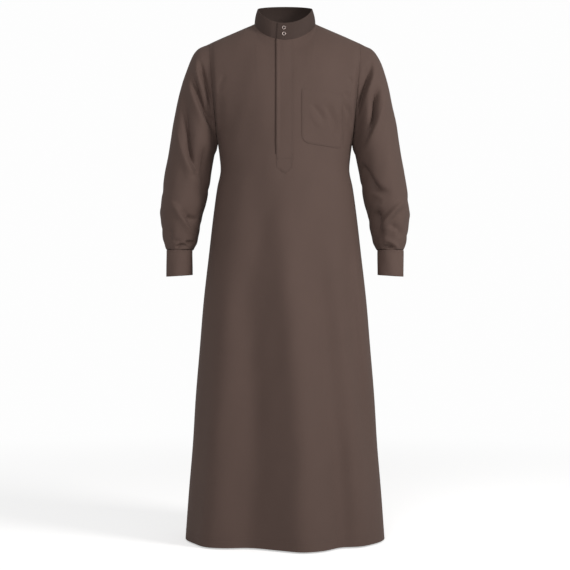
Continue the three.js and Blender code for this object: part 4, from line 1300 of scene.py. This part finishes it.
def mottle_group():
    """Slow, faint unevenness of the dye and fine slubs in the yarn."""
    group, start, end = new_group(
        "uneven_dye",
        [("Map", "NodeSocketVector", None), ("Strength", "NodeSocketFloat", 0.08)],
        [("Shade", "NodeSocketFloat"), ("Slub", "NodeSocketFloat")],
    )
    slow = group.nodes.new("ShaderNodeTexNoise")
    slow.inputs["Scale"].default_value = 9.0
    slow.inputs["Detail"].default_value = 3.0
    group.links.new(start.outputs["Map"], slow.inputs["Vector"])
    stretch = group.nodes.new("ShaderNodeMapping")
    stretch.inputs["Scale"].default_value = (900.0, 40.0, 1.0)
    group.links.new(start.outputs["Map"], stretch.inputs["Vector"])
    slub = group.nodes.new("ShaderNodeTexNoise")
    slub.inputs["Scale"].default_value = 1.0
    slub.inputs["Detail"].default_value = 2.0
    group.links.new(stretch.outputs["Vector"], slub.inputs["Vector"])
    slow_share = maths(group, "MULTIPLY", slow.outputs["Fac"], 0.7)
    slub_share = maths(group, "MULTIPLY", slub.outputs["Fac"], 0.3)
    both = maths(group, "ADD", slow_share, slub_share)
    centred = maths(group, "SUBTRACT", both, 0.5)
    shade = maths(group, "ADD", maths(group, "MULTIPLY", centred, start.outputs["Strength"]), 1.0)
    group.links.new(shade, end.inputs["Shade"])
    group.links.new(slub.outputs["Fac"], end.inputs["Slub"])
    return group


# The one dyed cloth, lightened on the cuffs as painted light and darkened on the collar and the reverse as
# painted shade
CLOTH_PAINTED_TONES = {"thobe_cloth": 1.0, "collar_cloth": 0.56, "cuff_cloth": 1.1, "cloth_inside": 0.42}


def new_material(name):
    material = bpy.data.materials.new(name)
    material.use_nodes = True
    return material, material.node_tree, material.node_tree.nodes["Principled BSDF"]


def cloth_material(name, painted_tone, settings, weave_tree, dye_tree):
    """The cloth's finish. The tone makes it lighter or darker: painted light on the cuffs, painted shade on
    the collar and on the reverse.
    """
    material, tree, shader = new_material(name)
    cloth_map = tree.nodes.new("ShaderNodeUVMap")
    cloth_map.uv_map = "weave"
    weave = tree.nodes.new("ShaderNodeGroup")
    weave.node_tree = weave_tree
    weave.inputs["Threads per metre"].default_value = settings.threads_per_metre
    dye = tree.nodes.new("ShaderNodeGroup")
    dye.node_tree = dye_tree
    dye.inputs["Strength"].default_value = 0.16
    tree.links.new(cloth_map.outputs["UV"], weave.inputs["Map"])
    tree.links.new(cloth_map.outputs["UV"], dye.inputs["Map"])
    # The weave's painted shade times the dye's random unevenness
    shade = maths(tree, "MULTIPLY", weave.outputs["Shade"], dye.outputs["Shade"])
    colour = tree.nodes.new("ShaderNodeMix")
    colour.data_type = "RGBA"
    colour.blend_type = "MULTIPLY"
    colour.inputs["Factor"].default_value = 1.0
    colour.inputs["A"].default_value = (*[value * painted_tone for value in settings.cloth_colour], 1)
    tree.links.new(shade, colour.inputs["B"])
    tree.links.new(colour.outputs["Result"], shader.inputs["Base Color"])
    unevenness = maths(tree, "MULTIPLY", dye.outputs["Slub"], 0.12)
    roughness = maths(tree, "ADD", unevenness, settings.cloth_roughness)
    tree.links.new(roughness, shader.inputs["Roughness"])
    height = maths(tree, "ADD", weave.outputs["Height"], maths(tree, "MULTIPLY", dye.outputs["Slub"], 0.8))
    bump = tree.nodes.new("ShaderNodeBump")
    bump.inputs["Strength"].default_value = 0.35
    bump.inputs["Distance"].default_value = 0.00012
    tree.links.new(height, bump.inputs["Height"])
    tree.links.new(bump.outputs["Normal"], shader.inputs["Normal"])
    shader.inputs["Sheen Weight"].default_value = 0.1
    shader.inputs["Sheen Roughness"].default_value = 0.45
    shader.inputs["Sheen Tint"].default_value = (0.62, 0.5, 0.45, 1)
    shader.inputs["Specular IOR Level"].default_value = 0.25
    return material


def thread_material(settings):
    material, tree, shader = new_material("sewing_thread")
    place = tree.nodes.new("ShaderNodeTexCoord")
    twist = tree.nodes.new("ShaderNodeTexNoise")
    twist.inputs["Scale"].default_value = 2400.0
    tree.links.new(place.outputs["Object"], twist.inputs["Vector"])
    ramp = tree.nodes.new("ShaderNodeMix")
    ramp.data_type = "RGBA"
    dark = [value * 0.8 for value in settings.cloth_colour]
    light = [value * 1.25 for value in settings.cloth_colour]
    ramp.inputs["A"].default_value = (*dark, 1)
    ramp.inputs["B"].default_value = (*light, 1)
    tree.links.new(twist.outputs["Fac"], ramp.inputs["Factor"])
    tree.links.new(ramp.outputs["Result"], shader.inputs["Base Color"])
    shader.inputs["Roughness"].default_value = 0.55
    return material


def speckled_material(name, colour, roughness, metallic, scale):
    """A hard finish with faint brushed or moulded unevenness."""
    material, tree, shader = new_material(name)
    place = tree.nodes.new("ShaderNodeTexCoord")
    grain = tree.nodes.new("ShaderNodeTexNoise")
    grain.inputs["Scale"].default_value = scale
    grain.inputs["Detail"].default_value = 4.0
    tree.links.new(place.outputs["Object"], grain.inputs["Vector"])
    tint = tree.nodes.new("ShaderNodeMix")
    tint.data_type = "RGBA"
    tint.inputs["A"].default_value = (*[value * 0.85 for value in colour], 1)
    tint.inputs["B"].default_value = (*[min(1, value * 1.1) for value in colour], 1)
    tree.links.new(grain.outputs["Fac"], tint.inputs["Factor"])
    tree.links.new(tint.outputs["Result"], shader.inputs["Base Color"])
    spread = maths(tree, "ADD", maths(tree, "MULTIPLY", grain.outputs["Fac"], 0.15), roughness)
    tree.links.new(spread, shader.inputs["Roughness"])
    shader.inputs["Metallic"].default_value = metallic
    return material


def make_materials(cloth, fasteners):
    groups = weave_group(), mottle_group()
    for name, painted_tone in CLOTH_PAINTED_TONES.items():
        cloth_material(name, painted_tone, cloth, *groups)
    thread_material(cloth)
    speckled_material("snap_metal", fasteners.snap_colour, 0.22, 0.85, 900)
    # The snaps' dark middle: painted shade
    speckled_material("snap_socket", fasteners.middle_shade_colour, 0.4, 0.3, 700)
    speckled_material("button_shell", fasteners.button_colour, 0.25, 0.0, 260)


# Add-on settings, operators and panel

class ThobeCloth(bpy.types.PropertyGroup):
    """Finish of the cloth and its sewing."""

    cloth_colour: FloatVectorProperty(
        name="Cloth colour", description="Dyed colour of the cloth", subtype="COLOR", size=3, min=0, max=1,
        default=(0.104, 0.0675, 0.056),
    )
    cloth_roughness: FloatProperty(
        name="Cloth roughness", description="Lowest roughness of the cloth", subtype="FACTOR",
        default=0.72, min=0, max=1,
    )
    threads_per_metre: IntProperty(
        name="Threads per metre", description="Fineness of the weave", default=2200, min=200, max=6000
    )
    stitch_pitch: FloatProperty(
        name="Stitch pitch", description="Length from one stitch to the next", unit="LENGTH", default=0.0032
    )
    stitch_length: FloatProperty(
        name="Stitch length", description="Length of thread that shows in a stitch", unit="LENGTH",
        default=0.0026,
    )
    thread_thickness: FloatProperty(
        name="Thread thickness", description="Thickness of the sewing thread", unit="LENGTH", default=0.00045
    )


class ThobeFasteners(bpy.types.PropertyGroup):
    """Colours of the snaps and buttons."""

    snap_colour: FloatVectorProperty(
        name="Snap colour", description="Metal of the snap rings", subtype="COLOR", size=3, min=0, max=1,
        default=(0.62, 0.52, 0.48),
    )
    # The near-black middle is painted shade in the hollow of the snaps' rings.
    middle_shade_colour: FloatVectorProperty(
        name="Middle shade colour", description="Dark middle of the snaps", subtype="COLOR", size=3, min=0, max=1,
        default=(0.03, 0.02, 0.018),
    )
    button_colour: FloatVectorProperty(
        name="Button colour", description="Colour of the cuff buttons", subtype="COLOR", size=3, min=0, max=1,
        default=(0.045, 0.028, 0.022),
    )


class ThobeStage(bpy.types.PropertyGroup):
    """Floor, lights and camera."""

    camera_distance: FloatProperty(
        name="Camera distance", description="From the camera to the middle of the thobe", unit="LENGTH",
        default=3.9,
    )
    camera_height: FloatProperty(
        name="Camera height", description="Height of the level camera", unit="LENGTH", default=-0.723
    )
    lens: FloatProperty(
        name="Lens", description="Focal length in millimetres on a 36 mm sensor", default=89.57
    )
    floor_drop: FloatProperty(
        name="Floor drop", description="Gap between the hem and the floor", unit="LENGTH", default=0.004
    )
    key_power: FloatProperty(
        name="Key power", description="Soft light from the viewer's right, in watts", default=55.0
    )
    fill_power: FloatProperty(
        name="Fill power", description="Soft light from in front, in watts", default=31.0
    )
    room_light: FloatProperty(
        name="Room light", description="Light from the white surroundings", default=0.36
    )
    room_white: FloatProperty(name="Room white", description="How white the surroundings look", default=0.985)
    floor_glow: FloatProperty(name="Floor glow", description="Evens the floor out to white", default=0.53)


class ThobeOperator(bpy.types.Operator):
    """Shared base of the thobe's operators."""

    bl_options = {"REGISTER", "UNDO"}

    def execute(self, context):
        pieces = self.build(context)
        if not pieces:
            raise RuntimeError(f"{self.bl_idname} made nothing")
        return {"FINISHED"}


def settle(piece, slot, *nodes):
    """Makes a piece move with the thobe and stand for its CAD nodes; slot is not used."""
    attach(piece, ROOT)
    if nodes:
        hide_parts(*nodes)
    return piece


class THOBE_OT_materials(ThobeOperator):
    """Makes the cloth, thread, metal and button finishes"""

    bl_idname = "thobe.materials"
    bl_label = "Materials"

    def build(self, context):
        make_materials(context.scene.thobe_cloth, context.scene.thobe_fasteners)
        return list(bpy.data.materials)


class THOBE_OT_body(ThobeOperator):
    """Builds the front and back panels, with the slit under the placket"""

    bl_idname = "thobe.body"
    bl_label = "Front and back"

    def build(self, context):
        front, back = build_panel(FRONT), build_panel(BACK)
        cut_slit(front)
        settle(front, "cloth", "front")
        settle(back, "cloth", "back")
        return [front, back]


class THOBE_OT_sleeves(ThobeOperator):
    """Builds both sleeves, with their gathers above the cuffs"""

    bl_idname = "thobe.sleeves"
    bl_label = "Sleeves"

    def build(self, context):
        sleeves = [build_sleeve(1), build_sleeve(-1)]
        for sleeve, hand in zip(sleeves, ("left", "right")):
            settle(sleeve, "cloth", f"sleeve_{hand}")
        return sleeves


class THOBE_OT_cuffs(ThobeOperator):
    """Builds both cuff bands"""

    bl_idname = "thobe.cuffs"
    bl_label = "Cuffs"

    def build(self, context):
        cuffs = [build_cuff(1), build_cuff(-1)]
        for cuff, hand in zip(cuffs, ("left", "right")):
            settle(cuff, "cloth", f"cuff_{hand}")
        return cuffs


class THOBE_OT_collar(ThobeOperator):
    """Builds the standing collar band"""

    bl_idname = "thobe.collar"
    bl_label = "Collar"

    def build(self, context):
        collar = settle(build_collar(), "cloth", "collar")
        return [collar]


class THOBE_OT_placket(ThobeOperator):
    """Builds the placket's outer strip and the strip that backs the slit"""

    bl_idname = "thobe.placket"
    bl_label = "Placket"

    def build(self, context):
        placket = settle(build_placket(), "cloth", "placket")
        underlap = settle(build_underlap(), "cloth", "underlap")
        return [placket, underlap]


class THOBE_OT_pocket(ThobeOperator):
    """Builds the patch pocket on the wearer's left chest"""

    bl_idname = "thobe.pocket"
    bl_label = "Pocket"

    def build(self, context):
        pocket = settle(build_pocket(), "cloth", "pocket")
        return [pocket]


class THOBE_OT_snaps(ThobeOperator):
    """Builds the two ring snaps on the collar"""

    bl_idname = "thobe.snaps"
    bl_label = "Collar snaps"

    def build(self, context):
        return [settle(build_snap(node, rise), "snap_metal", node) for node, rise in SNAP_RISES.items()]


class THOBE_OT_buttons(ThobeOperator):
    """Builds the buttons on the cuffs' laps"""

    bl_idname = "thobe.buttons"
    bl_label = "Cuff buttons"

    def build(self, context):
        pieces = []
        for sign, hand in ((1, "left"), (-1, "right")):
            pieces.append(settle(build_button(sign), "button_plastic", f"cuff_button_{hand}"))
        return pieces


class THOBE_OT_stitches(ThobeOperator):
    """Sews the hem, armholes, shoulders, placket, pocket, collar and cuffs"""

    bl_idname = "thobe.stitches"
    bl_label = "Stitching"

    def build(self, context):
        cloth = context.scene.thobe_cloth
        sewn = [
            stitch_lines("body_stitches", body_stitches(), cloth),
            stitch_lines("placket_and_pocket_stitches", placket_stitches() + pocket_stitches(), cloth),
            stitch_lines("band_stitches", band_stitches(), cloth),
        ]
        return [settle(piece, "cloth") for piece in sewn]


def area_light(name, place, target, size, power, colour):
    data = bpy.data.lights.new(name, "AREA")
    data.shape = "DISK"
    data.size = size
    data.energy = power
    data.color = colour
    light = bpy.data.objects.new(name, data)
    light.location = place
    light.rotation_euler = (Vector(target) - Vector(place)).to_track_quat("-Z", "Y").to_euler()
    bpy.context.scene.collection.objects.link(light)
    return light


FLOOR_HALF = 30.0
FLOOR_FADE = (1.5, 3.2)
KEY_LIGHT = dict(place=(2.5, -1.75, 0.8), size=1.0, colour=(1.0, 0.98, 0.96))
FILL_LIGHT = dict(place=(-0.5, -3.05, 0.75), size=1.4, colour=(1.0, 0.98, 0.97))


def build_floor(settings):
    """A wide white floor just under the hem, which fades into the white of the room."""
    floor_z = CAD_BOX[0][2] - settings.floor_drop
    mesh = bpy.data.meshes.new("floor")
    corners = [(FLOOR_HALF * x, FLOOR_HALF * y, floor_z) for x, y in ((-1, -1), (1, -1), (1, 1), (-1, 1))]
    mesh.from_pydata(corners, [], [(0, 1, 2, 3)])
    _, tree, shader = new_material("white_floor")
    shader.inputs["Base Color"].default_value = (0.8, 0.8, 0.8, 1)
    shader.inputs["Roughness"].default_value = 0.9
    shader.inputs["Specular IOR Level"].default_value = 0.0
    shader.inputs["Emission Color"].default_value = (1, 1, 1, 1)
    seen = tree.nodes.new("ShaderNodeLightPath").outputs["Is Camera Ray"]
    glow = maths(tree, "MULTIPLY", seen, settings.floor_glow)
    tree.links.new(glow, shader.inputs["Emission Strength"])
    place = tree.nodes.new("ShaderNodeTexCoord")
    reach = tree.nodes.new("ShaderNodeVectorMath")
    reach.operation = "LENGTH"
    tree.links.new(place.outputs["Object"], reach.inputs[0])
    fade = tree.nodes.new("ShaderNodeMapRange")
    fade.interpolation_type = "SMOOTHSTEP"
    fade.inputs["From Min"].default_value, fade.inputs["From Max"].default_value = FLOOR_FADE
    tree.links.new(reach.outputs["Value"], fade.inputs["Value"])
    white = tree.nodes.new("ShaderNodeEmission")
    white.inputs["Strength"].default_value = settings.room_white
    choose = tree.nodes.new("ShaderNodeMixShader")
    far = maths(tree, "MULTIPLY", seen, fade.outputs["Result"])
    tree.links.new(far, choose.inputs["Fac"])
    tree.links.new(shader.outputs["BSDF"], choose.inputs[1])
    tree.links.new(white.outputs["Emission"], choose.inputs[2])
    tree.links.new(choose.outputs["Shader"], tree.nodes["Material Output"].inputs["Surface"])
    floor = add_object("floor", mesh, ["white_floor"])
    return floor


def build_room(settings):
    """White surroundings, whose light is set apart from how white they look."""
    world = bpy.data.worlds.new("white_room")
    world.use_nodes = True
    tree = world.node_tree
    light = tree.nodes["Background"]
    light.inputs["Color"].default_value = (1, 1, 1, 1)
    light.inputs["Strength"].default_value = settings.room_light
    white = tree.nodes.new("ShaderNodeBackground")
    white.inputs["Color"].default_value = (1, 1, 1, 1)
    white.inputs["Strength"].default_value = settings.room_white
    choose = tree.nodes.new("ShaderNodeMixShader")
    seen = tree.nodes.new("ShaderNodeLightPath").outputs["Is Camera Ray"]
    tree.links.new(seen, choose.inputs["Fac"])
    tree.links.new(light.outputs["Background"], choose.inputs[1])
    tree.links.new(white.outputs["Background"], choose.inputs[2])
    tree.links.new(choose.outputs["Shader"], tree.nodes["World Output"].inputs["Surface"])
    return world


def build_camera(settings):
    """A level camera at the photograph's viewing angle."""
    data = bpy.data.cameras.new("camera")
    data.lens = settings.lens
    data.sensor_width = 36
    data.clip_end = 100
    camera = bpy.data.objects.new("camera", data)
    camera.location = (0, -settings.camera_distance, settings.camera_height)
    camera.rotation_euler = (math.radians(90), 0, 0)
    bpy.context.scene.collection.objects.link(camera)
    return camera


class THOBE_OT_stage(ThobeOperator):
    """Makes the white floor, the soft lights and the camera"""

    bl_idname = "thobe.stage"
    bl_label = "Stage"

    def build(self, context):
        settings = context.scene.thobe_stage
        floor = build_floor(settings)
        context.scene.world = build_room(settings)
        middle = (0, 0, settings.camera_height)
        lamps = (("key", KEY_LIGHT, settings.key_power), ("fill", FILL_LIGHT, settings.fill_power))
        for name, lamp, power in lamps:
            area_light(name, lamp["place"], middle, lamp["size"], power, lamp["colour"])
        camera = build_camera(settings)
        context.scene.camera = camera
        context.scene.view_settings.view_transform = "Standard"
        return [floor, camera]


OPERATORS = (
    THOBE_OT_materials,
    THOBE_OT_body,
    THOBE_OT_sleeves,
    THOBE_OT_cuffs,
    THOBE_OT_collar,
    THOBE_OT_placket,
    THOBE_OT_pocket,
    THOBE_OT_snaps,
    THOBE_OT_buttons,
    THOBE_OT_stitches,
    THOBE_OT_stage,
)


class THOBE_PT_panel(bpy.types.Panel):
    """Lists the thobe's settings and pieces"""

    bl_idname = "THOBE_PT_panel"
    bl_label = "Thobe"
    bl_space_type = "VIEW_3D"
    bl_region_type = "UI"
    bl_category = "Thobe"

    def draw(self, context):
        for group in (context.scene.thobe_cloth, context.scene.thobe_fasteners, context.scene.thobe_stage):
            box = self.layout.box()
            for name in group.bl_rna.properties.keys():
                if name not in {"rna_type", "name"}:
                    box.prop(group, name)
        for operator in OPERATORS:
            self.layout.operator(operator.bl_idname)


GROUPS = (("thobe_cloth", ThobeCloth), ("thobe_fasteners", ThobeFasteners), ("thobe_stage", ThobeStage))


def register():
    for name, group in GROUPS:
        bpy.utils.register_class(group)
        setattr(bpy.types.Scene, name, PointerProperty(type=group))
    for operator in OPERATORS:
        bpy.utils.register_class(operator)
    bpy.utils.register_class(THOBE_PT_panel)


def unregister():
    bpy.utils.unregister_class(THOBE_PT_panel)
    for operator in reversed(OPERATORS):
        bpy.utils.unregister_class(operator)
    for name, group in reversed(GROUPS):
        delattr(bpy.types.Scene, name)
        bpy.utils.unregister_class(group)


def main():
    register()
    for operator in OPERATORS:
        family, action = operator.bl_idname.split(".")
        getattr(getattr(bpy.ops, family), action)()


if __name__ == "__main__":
    main()
